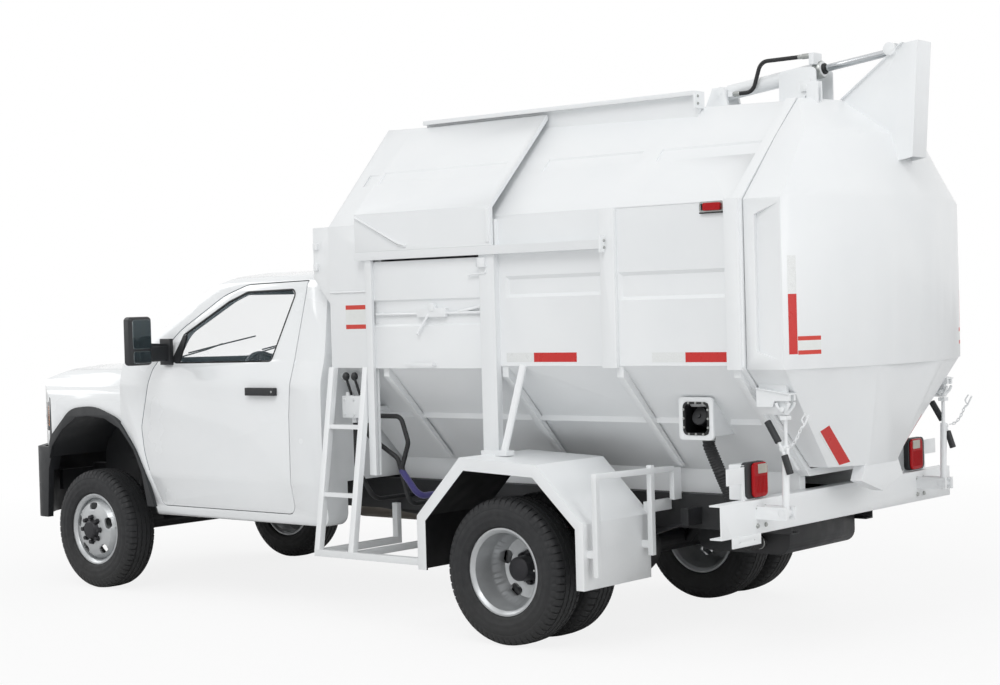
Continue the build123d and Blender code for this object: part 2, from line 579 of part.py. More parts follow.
for x in (1060, 150, -640, -1370):
    slope_ribs.append(cross_prism([(BODY_HALF - 3, BAND_BOT - 2), (BODY_HALF - 3, BAND_BOT - 60), (430, 940), (400, FLOOR_Z + 20)], x - 22, x + 22))
side_plate = side_plate - trays[2]
rail_caps = [box(-582, -568, BODY_HALF - 3, BODY_HALF + 66, 2112, 2200), box(-852, -838, ROOF_HALF + 5, ROOF_HALF + 96, 2880, 2972)]
roof_lip = fuse([box(-840, 1132, ROOF_HALF, ROOF_HALF + 92, 2950, 2974), box(-840, 1132, ROOF_HALF + 5, ROOF_HALF + 55, 2945, 2965)])
hook_plates = [box(HOOD_FRONT - 45, HOOD_FRONT - 12, BODY_HALF - 3, BODY_HALF + 16, z, z + 38) for z in (2088, 2212)]
strut = rod((16, 952, 1516), (118, 1012, 1042), 21)
strut_foot = box(78, 158, 978, 1046, 1018, 1046)
keeper = box(233, 282, BODY_HALF + 38, BODY_HALF + 62, 2063, 2115)
# fuel filler housing on the left, a pocket with a bolted face plate
ring = side_prism([(-1123, 1118, 22), (-1123, 1341, 22), (-910, 1341, 22), (-910, 1118, 22)], 790, 806)
ring = ring - side_prism([(-1095, 1146, 12), (-1095, 1313, 12), (-940, 1313, 12), (-940, 1146, 12)], 700, 900)
slope_y = FLOOR_HALF - FLOOR_Z + 0.4
root_y = slope_y - 10
case = cross_prism([(792, 1136), (792, 1323), (1323 + root_y, 1323), (1136 + root_y, 1136)], -1105, -928)
pocket = cross_prism([(850, 1146), (850, 1313), (1313 + slope_y + 12, 1313), (1146 + slope_y + 12, 1146)], -1095, -940)
case = case - pocket
side_bits = frame_posts + rail_caps + hook_plates + [roof_lip, strut, strut_foot, keeper, guide, side_plate, mid_rail, roof_rail, cheek] + slope_ribs
outer_bits = side_bits + [mirror_y(s) for s in side_bits]
for tray in trays:
    shell = shell - tray - mirror_y(tray)
hull = fuse([shell, top_box, rear_ring, ring, case] + outer_bits)
lug_line = [(BODY_REAR + 3, 2850), (BODY_REAR + 70, 2850), (BODY_REAR + 50, 2985), (HINGE_X - 30, 2985), (HINGE_X - 30, 2920), (BODY_REAR + 3, 2900)]
hinge_lugs = [side_prism(lug_line, y - 12, y + 12) for y in (-300, 300)]
hinge_bores = rod((HINGE_X, -400, HINGE_Z), (HINGE_X, 400, HINGE_Z), 16 + RUN_FIT)
base_lugs = [side_prism([(BASE_X - 70, 2880), (BASE_X + 110, 2880), (BASE_X + 40, BASE_Z + 30), (BASE_X - 40, BASE_Z + 30)], y - 8, y + 8) for y in (-62, 62)]
guard_line = [(BASE_X - 408, 2868), (BASE_X - 408, 3070, 20), (BASE_X - 520, 3086, 40), (BASE_X - 638, 3082, 30), (BASE_X - 638, 2868)]
guards = [side_prism(guard_line, 84, 92), side_prism(guard_line, -92, -84)]
base_pin = rod((BASE_X, -72, BASE_Z), (BASE_X, 72, BASE_Z), 18)
hull = fuse([hull] + hinge_lugs + base_lugs + guards) - hinge_bores
hull = fuse([hull, base_pin])
save("tank_body", hull)

# ---- sliding covers and drop doors ---------------------------------------
off = 14
thick = 24
slope = Vector(BODY_HALF - ROOF_HALF, ROOF_FRONT_Z - BAND_TOP)
nrm = (math.sin(math.atan2(slope.Y, slope.X)), math.cos(math.atan2(slope.Y, slope.X)))


def cover_line(d):
    # skin line at distance d outside the body, (y, z) from rail up to the roof edge
    y_low = BODY_HALF + 34 + d
    z_knee = BAND_TOP + 46 + d * 0.5
    y_top = ROOF_HALF + 62 + d * 0.6
    z_top = ROOF_FRONT_Z - 45 + d
    return [(y_low, 2180.3), (y_low, z_knee), (y_top, z_top)]


low_line = cover_line(0)
high_line = cover_line(thick)
cover = cross_prism(low_line + list(reversed(high_line)), COVER_X0, COVER_X1)
knee, crest = high_line[1:]
knee_up = (Vector(*crest) - Vector(*knee)).normalized()
knee_out = Vector(knee_up.Y, -knee_up.X)


def cover_at(z, d):
    on = Vector(*knee) + knee_up * ((z - knee[1]) / knee_up.Y) + knee_out * d
    return (on.X, on.Y)


z0, z1 = SLOPE_BAND
tray_line = [cover_at(z0, 1), cover_at(z0 + SLOPE_DEPTH, -SLOPE_DEPTH), cover_at(z1 - SLOPE_DEPTH, -SLOPE_DEPTH), cover_at(z1, 1)]
cover = cover - cross_prism(tray_line, COVER_X0 + 68, COVER_X1 - 25)
stay_y = BODY_HALF + 34 + thick + 5
stay_ends = [(1221, 2385), (882, 2212), (819, 2204)]
stay = [rod((a[0], stay_y, a[1]), (b[0], stay_y, b[1]), 8) for a, b in zip(stay_ends, stay_ends[1:])]
flange = box(COVER_X0 + 10, COVER_X0 + 34, BODY_HALF + 34 + thick - 2, BODY_HALF + 34 + thick + 8, 2200, 2385)
cover = fuse([cover, flange] + stay)
save("cover_left", cover)
save("cover_right", mirror_y(cover))

drop = box(DOOR_X0 - 12, DOOR_X1 + 22, BODY_HALF + 6, BODY_HALF + 24, 1498, DROP_TOP)
skin_y = BODY_HALF + 24
drop = drop - cross_prism([(skin_y + 1, 1741), (skin_y - 11, 1755), (skin_y - 11, 1885), (skin_y + 1, 1897)], DOOR_X0 - 20, DOOR_X1 + 30)
lever = rod((679, BODY_HALF + 38, 1806), (760, BODY_HALF + 46, 1700), 7) + Pos(760, BODY_HALF + 46, 1700) * Sphere(10)
grab = fuse([box(640, 655, BODY_HALF + 20, BODY_HALF + 60, 1512, 1528), box(835, 850, BODY_HALF + 20, BODY_HALF + 60, 1512, 1528),
             box(640, 850, BODY_HALF + 48, BODY_HALF + 62, 1512, 1528)])
latch_box = fuse([box(550, 767, BODY_HALF + 11, BODY_HALF + 40, 1792, 1842), rod((656, BODY_HALF + 14, 1846), (656, BODY_HALF + 44, 1846), 24)])
bolt_y = BODY_HALF + 24
bolt = fuse([rod((DOOR_X0 + 4, bolt_y, 1812), (DOOR_X1 - 8, bolt_y, 1812), 8), rod((464, bolt_y, 1817), (DOOR_X0 + 4, bolt_y, 1845), 8)])
pads = [box(x - 14, x + 14, BODY_HALF + 11, bolt_y, 1802, 1822) for x in (DOOR_X1 - 40, 940, 420)]
drop_set = fuse([drop, grab, latch_box, bolt, lever] + pads)
save("drop_door_left", drop_set)
save("drop_door_right", mirror_y(drop_set))

# ---- tailgate ------------------------------------------------------------
TX = BODY_REAR - TAIL_GAP


def tail_section(z, half, strip_x, bulge, inset=0):
    h = half - inset
    s = strip_x + inset * 0.5
    b = bulge - inset * 0.5
    x0 = TX + (30 if inset else 0)
    line = Polyline((s, -h, z), (x0, -h, z), (x0, h, z), (s, h, z))
    back = ThreePointArc((s, h, z), (s - b, 0, z), (s, -h, z))
    return make_face([line, back])


def tail_facets(z, half, strip_x, corner_x, corner_y, inset=0):
    h = half - inset
    x0 = TX + (30 if inset else 0)
    pts = [(x0, h), (strip_x + inset * 0.5, h), (corner_x + inset, corner_y - inset * 0.4)]
    pts = pts + [(a, -b) for a, b in reversed(pts)]
    return Pos(0, 0, z) * face(pts)


def tail_block(inset):
    k = inset
    low = loft([tail_facets(955 + k, 370, -1540, -1660, 150, k), tail_facets(TAIL_BOT + 2, BODY_HALF - 4, TAIL_STRIP, -1842, 360, k)], ruled=True)
    band = extrude(tail_section(TAIL_BOT, BODY_HALF, TAIL_STRIP, TAIL_BULGE, k), amount=BAND_TOP - TAIL_BOT, dir=(0, 0, 1))
    mid = loft([tail_section(BAND_TOP - (0 if not k else 1), BODY_HALF, TAIL_STRIP, TAIL_BULGE, k),
                tail_section(2690, 615, -1590, 205, k)], ruled=True)
    top = loft([tail_section(2690 - (0 if not k else 1), 615, -1590, 205, k),
                tail_section(2885 - k, ROOF_HALF, -1440, 75, k)], ruled=True)
    return fuse([low, band, mid, top])


valley = plan_prism([(-1492, BODY_HALF + 2), (-1492, BODY_HALF - 22), (-1640, BODY_HALF + 2)], TAIL_BOT, BAND_TOP)
valley = valley & side_prism([(-1480, 1585), (-1650, 1528), (-1650, 2326), (-1480, 2262)], BODY_HALF - 60, BODY_HALF + 20)
gate = tail_block(0) - tail_block(WALL) - valley - mirror_y(valley)
HORN_Y = 70
horn_line = [(-1500, 2860), (-1500, 2885), (-1868, 3150), (-1955, 3160), (-1912, 2560), (-1800, 2540), (-1700, 2750)]
horn_plate = side_prism(horn_line, HORN_Y - 6, HORN_Y + 6)
horn_back = side_prism([(-1955, 3160), (-1943, 3160), (-1900, 2575), (-1912, 2560)], -HORN_Y, HORN_Y)
horn = fuse([horn_plate, mirror_y(horn_plate), horn_back]) - tail_block(WALL)
boss = rod((EYE_X, HORN_Y + 4, EYE_Z), (EYE_X, HORN_Y + 26, EYE_Z), 34)
spout = cross_prism(mirrored([(0, 806), (222, 876), (160, 990), (0, 990)]), -1655, -1585)
spout = spout - cross_prism(mirrored([(0, 830), (196, 884), (140, 975), (0, 975)]), -1640, -1500) - tail_block(WALL)
gate_lugs = [box(HINGE_X - 80, HINGE_X + 24, y + s * 19 - 5, y + s * 19 + 5, HINGE_Z - 24, HINGE_Z + 24) for y in (-300, 300) for s in (-1, 1)]
gate_lug_feet = [side_prism([(HINGE_X - 80, HINGE_Z - 24), (HINGE_X - 80, 2850), (HINGE_X - 12, 2850), (HINGE_X - 12, HINGE_Z - 24)], y + s * 19 - 5, y + s * 19 + 5)
                 for y in (-300, 300) for s in (-1, 1)]
gate_pins = [rod((HINGE_X, y - 26, HINGE_Z), (HINGE_X, y + 26, HINGE_Z), 16) for y in (-300, 300)]
ear = box(-1600, -1440, 838, 862, 1260, 1500)
ear_pin = rod((-1585, 815, 1290), (-1585, 885, 1290), 12)
gate = fuse([gate, spout, horn, boss, mirror_y(boss)] + gate_lugs + gate_lug_feet + gate_pins + [ear, mirror_y(ear), ear_pin, mirror_y(ear_pin)])
save("tailgate", gate)

# ---- lifting cylinder ----------------------------------------------------
base_p = Vector(BASE_X, 0, BASE_Z)
eye_p = Vector(EYE_X, 0, EYE_Z)
run = (eye_p - base_p).normalized()
gland = base_p + run * 640
tube_start = base_p + run * 30
barrel = rod(tuple(tube_start), tuple(gland), 42)
barrel_eye = rod((BASE_X, -50, BASE_Z), (BASE_X, 50, BASE_Z), 36)
bore = rod(tuple(base_p + run * 60), tuple(base_p + run * 700), 20 + RUN_FIT)
barrel = fuse([barrel, barrel_eye]) - bore - rod((BASE_X, -80, BASE_Z), (BASE_X, 80, BASE_Z), 18 + RUN_FIT)
HOSE_Y = 64
port_a = box(-820, -790, 0, HOSE_Y + 14, 2972, 2998)
port_b = box(-1340, -1311, -10, HOSE_Y + 14, 3098, 3160)
barrel = fuse([barrel, port_a, port_b]) - bore
hose_line = [(-820.3, HOSE_Y, 2985), (-945, HOSE_Y, 2985), (-1000, HOSE_Y, 3146), (-1310.7, HOSE_Y, 3146)]
cylinder_hose = hose(hose_line, 60, 10)
save("cylinder_barrel", Compound(children=[barrel.solids()[0], cylinder_hose.solids()[0]]))
piston = rod(tuple(base_p + run * 590), tuple(eye_p), 20)
rod_eye = rod((EYE_X, -40, EYE_Z), (EYE_X, 40, EYE_Z), 34)
save("cylinder_rod", fuse([piston, rod_eye]))

# ---- gate latches --------------------------------------------------------
turnbuckle = fuse([
    rod((LATCH_X, 850, LATCH_Z), (-1583, 850, 1110), 18), rod((-1583, 850, 1100), (-1584, 850, 1240), 10),
    rod((LATCH_X, 803, LATCH_Z), (LATCH_X, 897, LATCH_Z), 20),
])
hook = box(-1604, -1566, 826, 874, 1236, 1256)
lever_y = 850 + 30
lever_mid = (-1581, lever_y, 1092)
t_lever = [rod((-1500, lever_y, 1224), lever_mid, 8), rod(lever_mid, (-1622, lever_y, 974), 8), rod((-1583, 850, 1092), (-1581, lever_y + 6, 1092), 14)]
grips = [rod((-1500, lever_y, 1224), (-1556, lever_y, 1132), 15), rod((-1598, lever_y, 1044), (-1622, lever_y, 974), 15)]
turnbuckle = fuse([turnbuckle, hook] + t_lever + grips)
save("latch_left", turnbuckle)
save("latch_right", mirror_y(turnbuckle))

# ---- rear bumper, lamps, tank, filler ------------------------------------
channel = fuse([box(-1430, -1422, -1215, 1215, 660, 832), box(-1430, -1360, -1215, 1215, 824, 832), box(-1430, -1360, -1215, 1215, 660, 668)])
stays = [box(-1425, RAIL_END, y - 30, y + 30, 665, 780) for y in (-400, 400)]
foot_bore = rod((LATCH_X, -950, LATCH_Z), (LATCH_X, 950, LATCH_Z), 20 + RUN_FIT)
foot = [box(-1610, -1425, y - 10, y + 10, 735, 800) - foot_bore for y in (812, 888, -812, -888)]
plate_holder = box(-1438, -1428, 870, 1125, 610, 665) - rod((-1500, 930, 635), (-1400, 930, 635), 5) - rod((-1500, 1065, 635), (-1400, 1065, 635), 5)
lamp_stay = fuse([box(-1398, -1390, 945.3, 1105, 918, 1001), box(-1398, -1390, 945.3, 975, 826, 920)])
save("rear_bumper", fuse([channel] + stays + foot + [plate_holder, lamp_stay, mirror_y(lamp_stay)]))
lamp_case = fuse([box(-1400, -1300, 700, 945, 832.3, 1025), box(-1409, -1398, 712, 866, 846, 1012)])
save("lamps", Compound(children=[s for g in (lamp, mirror_y(lamp), lamp_case, mirror_y(lamp_case)) for s in g.solids()]))

fuel_tank = side_prism([(-1284, 475, 70), (-1284, 760, 50), (-700, 760, 50), (-700, 475, 70)], -345, 345)
straps = [box(x - 20, x + 20, -RAIL_OUT + 8, RAIL_OUT - 8, 760, 775) for x in (-1130, -850)]
fuel_tank = fuse([fuel_tank] + straps)
neck = rod((-1016, 640, 1190), (-1016, 745, 1230), 38) & pocket
filler_hose = hose([(-1016, 690, 1135.7), (-1016, 690, 1080), (-1075, 680, 940), (-1110, 560, 700), (-1110, 500, 540), (-1110, 345, 540)], 70, 30)
save("fuel_system", Compound(children=[s for g in (fuel_tank, neck, filler_hose) for s in g.solids()]))

# ---- rear fenders, guard frames, ladders ---------------------------------
ARCH_PTS = [(570, 384), (570, 680), (250, 1008), (-275, 985), (-575, 690), (-575, 350)]
top_line = ARCH_PTS + [(-587, 350), (-587, 696), (-280, 998), (256, 1021), (583, 686), (583, 384)]
fender = side_prism(top_line, 640, 1235)
lip_r = side_prism([(583, 384), (583, 686), (256, 1021), (-280, 998), (-587, 696), (-587, 350), (-535, 350), (-535, 670), (-255, 930), (230, 950), (520, 660), (520, 384)], 1225, 1237)
stay_r = [box(170, 300, 900, 1000, 960, 1040), box(-20, 20, RAIL_OUT, 660, 845, 870), box(-20, 20, 640, 665, 845, 1000), box(-20, 20, RAIL_OUT, 460, 700, 870), box(-587, -560, RAIL_OUT, 660, 700, 760)]
guard = fuse([bar((-640, 1205, 945), (-640, 500, 930), 30, 30), bar((-640, 1190, 950), (-640, 1190, 420), 30, 30),
              bar((-640, 700, 965), (-640, 700, 480), 30, 30), box(-655, -580, 1175, 1205, 520, 560), box(-655, -580, 685, 715, 520, 560),
              box(-655, -625, RAIL_OUT, 502, 760, 935)])
fender_set = fuse([fender, lip_r, guard] + stay_r)
save("rear_fenders", Compound(children=[s for g in (fender_set, mirror_y(fender_set)) for s in g.solids()]))

ladder_parts = [
    bar((1480, 965, 1502), (1480, 1130, 420), 40, 40, up=(1, 0, 0)), bar((1200, 965, 1502), (1200, 1130, 420), 40, 40, up=(1, 0, 0)),
    box(1200, 1480, 1003, 1035, 1140, 1165), box(1200, 1480, 1062, 1094, 740, 765), box(660, 1500, 1110, 1150, 390, 430),
    box(660, 700, RAIL_OUT, 1150, 390, 430), box(1460, 1500, RAIL_OUT, 1150, 390, 430), box(1190, 1220, RAIL_OUT, 1150, 390, 430),
    box(660, 700, RAIL_OUT, 470, 390, 640), box(1460, 1500, RAIL_OUT, 470, 390, 640),
]
ladder = fuse(ladder_parts)
save("side_ladders", Compound(children=[s for g in (ladder, mirror_y(ladder)) for s in g.solids()]))

# ---- valve and hoses -----------------------------------------------------
block = box(1260, 1450, 860, 930, 1200, 1330)
levers = [fuse([rod((x, 905, 1325), (x + 12, 938, 1440), 7), Pos(x + 12, 940, 1448) * Sphere(20)]) for x in (1390, 1320)]
mount_v = cross_prism([(1230 + slope_y, 1230), (862, 1230), (862, 1260), (1260 + slope_y, 1260)], 1300, 1420)
save("valve", fuse([block, mount_v] + levers))
h1 = hose([(1380, 895, 1200), (1380, 895, 900), (1330, 800, 700), (1330, RAIL_OUT, 700)], 100, 14)
h2 = hose([(1260, 890, 1212), (1010, 890, 1212), (955, 890, 1060), (1020, 885, 900), (900, 870, 745), (900, RAIL_OUT, 745)], 55, 14)
h3 = hose([(1300, 880, 1200), (1300, 880, 1100), (1080, 850, 960), (1000, 840, 690), (1000, RAIL_OUT, 690)], 60, 14)
save("hoses", Compound(children=[s for g in (h1, h2, h3) for s in g.solids()]))
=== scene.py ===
import json
import bmesh
import bpy
import numpy as np
from mathutils import Matrix, Vector
from mathutils.bvhtree import BVHTree


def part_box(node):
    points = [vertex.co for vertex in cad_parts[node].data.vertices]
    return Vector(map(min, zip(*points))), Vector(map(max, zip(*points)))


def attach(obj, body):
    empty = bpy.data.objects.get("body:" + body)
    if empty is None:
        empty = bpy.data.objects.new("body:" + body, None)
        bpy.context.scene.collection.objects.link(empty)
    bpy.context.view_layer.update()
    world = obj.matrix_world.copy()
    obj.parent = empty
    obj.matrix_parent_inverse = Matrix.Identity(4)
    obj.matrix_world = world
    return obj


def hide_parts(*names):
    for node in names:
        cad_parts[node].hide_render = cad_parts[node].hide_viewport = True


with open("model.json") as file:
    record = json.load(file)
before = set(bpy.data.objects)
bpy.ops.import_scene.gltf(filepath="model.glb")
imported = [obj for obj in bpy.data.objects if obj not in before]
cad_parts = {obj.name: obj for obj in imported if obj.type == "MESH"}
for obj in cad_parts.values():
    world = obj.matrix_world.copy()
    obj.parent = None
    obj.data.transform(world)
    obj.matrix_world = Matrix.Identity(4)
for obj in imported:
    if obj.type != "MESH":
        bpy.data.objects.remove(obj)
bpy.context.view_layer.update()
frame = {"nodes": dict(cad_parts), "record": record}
nodes = frame["nodes"]
rearLow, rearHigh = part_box("rear_rims_left")
axleX = (rearLow.x + rearHigh.x) / 2      # the rear axle's station; places below are in mm from it
mm = 0.001
wheelHeight = 404      # of every axle's line over the ground
# angles in radians: an edge is shaded sharp from the first, rounded from the second, and flat below the third
edgeLook = {"sharp": 0.7, "bevel": 0.6, "flat": 0.006}
print("frame loaded, rear axle at", round(axleX, 4))


# small tools
def linear(hexText):
    # an sRGB hex colour as the linear colour that the shaders take
    code = np.array([int(hexText[k:k + 2], 16) for k in (1, 3, 5)]) / 255
    low, high = code / 12.92, ((code + 0.055) / 1.055) ** 2.4
    return (*np.where(code <= 0.04045, low, high).tolist(), 1.0)


def addNode(tree, kind, settings=None, links=None):
    # one node with its attributes or socket values, and links from other nodes' outputs
    made = tree.nodes.new(kind)
    for key, value in (settings or {}).items():
        if isinstance(key, str) and hasattr(made, key):
            setattr(made, key, value)
        else:
            made.inputs[key].default_value = value
    for key, source in (links or {}).items():
        tree.links.new(source, made.inputs[key])
    return made


def place(points):
    # mm from the rear axle on the ground to metres in the frame
    return np.asarray(points, float) * mm + np.array([axleX, 0, 0])


def flip(shape):
    # the same shape on the other side of the truck, with its faces turned the right way
    verts, faces = shape
    return verts * np.array([1, -1, 1]), [f[::-1] for f in faces]


def bothSides(shapes):
    return list(shapes) + [flip(s) for s in shapes]


def onSide(side, shapes):
    # shapes are worked out for the left side and flipped for the right
    return list(shapes) if side == "left" else [flip(s) for s in shapes]


def gridShape(points, closeU=False, closeV=False):
    # points[i, j] is the surface at step i of its first parameter and step j of its second
    countU, countV = points.shape[:2]
    i = np.arange(countU if closeU else countU - 1)[:, None]
    j = np.arange(countV if closeV else countV - 1)[None, :]
    nextI, nextJ = (i + 1) % countU, (j + 1) % countV
    quads = np.stack(np.broadcast_arrays(i * countV + j, nextI * countV + j, nextI * countV + nextJ,
                                         i * countV + nextJ), -1).reshape(-1, 4)
    return points.reshape(-1, 3), quads.tolist()


def smoothLine(points, count):
    # Catmull-Rom curve: each span is a cubic that leaves a point in the direction of its neighbours
    p = np.asarray(points, float)
    p = np.vstack([2 * p[0] - p[1], p, 2 * p[-1] - p[-2]])
    t = np.linspace(0, len(p) - 3 - 1e-9, count)
    k = t.astype(int)
    f = (t - k)[:, None]
    a, b, c, d = p[k], p[k + 1], p[k + 2], p[k + 3]
    square, cube = 2 * a - 5 * b + 4 * c - d, 3 * b - a - 3 * c + d
    return 0.5 * (2 * b + (c - a) * f + square * f ** 2 + cube * f ** 3)


def bentLine(points, radius, step=8.0):
    # straight runs joined by arcs of one radius, then sampled about every step mm
    p = np.asarray(points, float)
    line = [p[0]]
    for before, corner, after in zip(p, p[1:], p[2:]):
        a, b = before - corner, after - corner
        a, b = a / np.linalg.norm(a), b / np.linalg.norm(b)
        half = np.arccos(np.clip(-a @ b, -1, 1)) / 2
        middle = corner + (a + b) / np.linalg.norm(a + b) * radius / np.cos(half)
        start = corner + a * radius * np.tan(half) - middle
        across = np.cross(np.cross(start, a), start)
        across = -across / np.linalg.norm(across) * radius
        turn = np.linspace(0, 2 * half, 9)[:, None]
        line += list(middle + start * np.cos(turn) + across * np.sin(turn))
    line = np.array(line + [p[-1]])
    length = np.concatenate([[0], np.cumsum(np.linalg.norm(np.diff(line, axis=0), axis=1))])
    at = np.linspace(0, length[-1], max(int(length[-1] / step), 2))
    return np.stack([np.interp(at, length, line[:, k]) for k in range(3)], 1)


def tubeShape(path, radius, sides=12, closed=False):
    # a circle carried along a path: at each point it stands across the way the path runs
    path = np.asarray(path, float)
    way = np.roll(path, -1, 0) - np.roll(path, 1, 0) if closed else np.gradient(path, axis=0)
    way /= np.linalg.norm(way, axis=1)[:, None]
    spread = np.abs(way).sum(0)
    up = np.eye(3)[int(np.argmin(spread))]
    side = np.cross(way, up)
    side /= np.linalg.norm(side, axis=1)[:, None]
    over = np.cross(side, way)
    turn = np.linspace(0, 2 * np.pi, sides, endpoint=False)
    size = np.broadcast_to(np.asarray(radius, float), (len(path),))
    ring = (side[:, None] * np.cos(turn)[None, :, None] + over[:, None] * np.sin(turn)[None, :, None])
    points = path[:, None] + ring * size[:, None, None]
    verts, faces = gridShape(points, closeU=closed, closeV=True)
    last = (len(path) - 1) * sides
    ends = [] if closed else [list(range(sides)), list(range(last + sides - 1, last - 1, -1))]
    return verts, faces + ends


def sleeveShape(start, end, radius, sides=20):
    # a round-ended sleeve: its radius follows a quarter circle over the last 4 mm at both ends
    start, end = np.asarray(start, float), np.asarray(end, float)
    length = np.linalg.norm(end - start)
    bend, ease = 4, np.array([0, 0.6, 1.6, 3])
    at = np.concatenate([ease, np.linspace(bend, length - bend, 8), length - ease[::-1]])
    edge = np.minimum(np.minimum(at, length - at) / bend, 1)
    size = radius - bend + bend * np.sqrt(1 - (1 - edge) ** 2)
    return tubeShape(start + (end - start) * (at / length)[:, None], size, sides)


def latheShape(profile, centre, steps=48, axis=1):
    # profile rows are (radius, distance along the axis), carried round the axis; caps close at radius 0
    profile = np.asarray(profile, float)
    turn = np.linspace(0, 2 * np.pi, steps, endpoint=False)
    points = np.zeros((len(profile), steps, 3))
    first, second = [k for k in range(3) if k != axis]
    points[:, :, first] = profile[:, :1] * np.cos(turn)
    points[:, :, second] = profile[:, :1] * np.sin(turn)
    points[:, :, axis] = profile[:, 1:]
    return gridShape(points + np.asarray(centre, float), closeV=True)


def blockShape(x0, x1, y0, y1, z0, z1):
    # a block by its limits; the piece's bevel rounds its edges
    x, y, z = np.meshgrid([x0, x1], [y0, y1], [z0, z1], indexing="ij")
    verts = np.stack([x, y, z], -1).reshape(-1, 3).astype(float)
    return verts, [[0, 1, 3, 2], [4, 6, 7, 5], [0, 4, 5, 1], [2, 3, 7, 6], [0, 2, 6, 4], [1, 5, 7, 3]]


def prismShape(outline, low, high, across="y"):
    # a flat outline given thickness across one axis; the outline's numbers are the other two axes in order
    outline = np.asarray(outline, float)
    count = len(outline)
    k = "xyz".index(across)
    verts = np.zeros((2 * count, 3))
    others = [n for n in range(3) if n != k]
    verts[:count, others], verts[count:, others] = outline, outline
    verts[:count, k], verts[count:, k] = low, high
    ring = [[n, (n + 1) % count, count + (n + 1) % count, count + n] for n in range(count)]
    return verts, ring + [list(range(count - 1, -1, -1)), list(range(count, 2 * count))]


def boltShape(centre, axis, radius=9.0, height=7.0, sides=6):
    # a hexagon head standing on a washer, along one axis; height's sign is its way,
    # and each row gives a ring's share of the radius and of the height
    around = np.linspace(0, 2 * np.pi, sides, endpoint=False)
    rows = [(1.3, 0), (1.3, 0.18), (1, 0.18), (1, 0.85), (0.85, 1), (0, 1)]
    points = np.zeros((len(rows), sides, 3))
    first, second = [k for k in range(3) if k != axis]
    size, rise = np.array(rows).T
    points[:, :, first] = size[:, None] * radius * np.cos(around)
    points[:, :, second] = size[:, None] * radius * np.sin(around)
    points[:, :, axis] = (rise * height)[:, None]
    return gridShape(points + np.asarray(centre, float), closeV=True)


def frameShape(outer, inner, low, high):
    # a flat frame between two outlines of as many corners, given thickness across y
    outer, inner = np.asarray(outer, float), np.asarray(inner, float)
    rows = [(outer, low), (inner, low), (inner, high), (outer, high)]
    points = np.stack([np.stack([o[:, 0], np.full(len(o), y), o[:, 1]], 1) for o, y in rows])
    return gridShape(points, closeU=True, closeV=True)


def roundedBox(x0, x1, z0, z1, radius, steps=6):
    # the outline of a rectangle with round corners
    turn = np.linspace(0, np.pi / 2, steps)
    left, right, low, high = x0 + radius, x1 - radius, z0 + radius, z1 - radius
    rows = []
    for quarter, (x, z) in enumerate([(right, high), (left, high), (left, low), (right, low)]):
        angle = turn + quarter * np.pi / 2
        rows.append(np.stack([x + radius * np.cos(angle), z + radius * np.sin(angle)], 1))
    return np.concatenate(rows)


# which body a CAD node rides on, and the record's material slot of each node and of each finish used for trim
bodyOf = {n: b for b, group in frame["record"]["behaviour"]["bodies"].items() for n in group}
slotOf = {s["node"]: s["material_slot"] for s in frame["record"]["subparts"]}
trimSlot = {"zinc plate": "cast_iron", "hose rubber": "hose_rubber", "nylon sleeve": "hose_rubber",
            "grained black plastic": "black_plastic", "silvered glass": "black_plastic",
            "sprayed white enamel": "white_paint", "seat cloth": "seat_cloth", "clear lens": "lamp_lens",
            "milky lens": "lamp_lens", "red lens": "lamp_lens", "amber lens": "lamp_lens"}


def finishPiece(name, mesh, look, body, bevel, segments, solid, stands, subdiv=0):
    # the mesh as an object that rides on its body, with its wall, rounded edges and finish; lengths in metres
    mesh.materials.append(finish[look])
    mesh.shade_smooth()
    if not bevel and not subdiv:
        mesh.set_sharp_from_angle(angle=edgeLook["sharp"])
    made = bpy.data.objects.new(name, mesh)
    bpy.context.scene.collection.objects.link(made)
    if solid:
        wall = made.modifiers.new("wall", "SOLIDIFY")
        wall.thickness, wall.offset = solid, -1
    if bevel:
        edge = made.modifiers.new("edge", "BEVEL")
        edge.width, edge.segments = bevel, segments
        edge.limit_method, edge.angle_limit = "ANGLE", edgeLook["bevel"]
        edge.use_clamp_overlap, edge.harden_normals = bool(stands), True
    if subdiv:
        fine = made.modifiers.new("smooth", "SUBSURF")
        fine.levels = fine.render_levels = subdiv
    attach(made, body)
    if stands:
        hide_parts(*stands)
    return made


def makePiece(name, shapes, look, body="chassis", slot=None, bevel=0.0, segments=2, solid=0.0, stands=(),
              subdiv=0):
    # joins shapes given in mm from the rear axle into one piece that rides on a body
    verts, faces, start = [], [], 0
    for shapeVerts, shapeFaces in shapes:
        verts.append(shapeVerts)
        faces += [[n + start for n in f] for f in shapeFaces]
        start += len(shapeVerts)
    mesh = bpy.data.meshes.new(name)
    mesh.from_pydata(place(np.vstack(verts)).tolist(), [], faces)
    work = bmesh.new()
    work.from_mesh(mesh)
    bmesh.ops.remove_doubles(work, verts=work.verts, dist=1e-6)
    bmesh.ops.recalc_face_normals(work, faces=work.faces)
    work.to_mesh(mesh)
    work.free()
    slot = slot or trimSlot[look]
    return finishPiece(name, mesh, look, body, bevel * mm, segments, solid * mm, stands, subdiv)


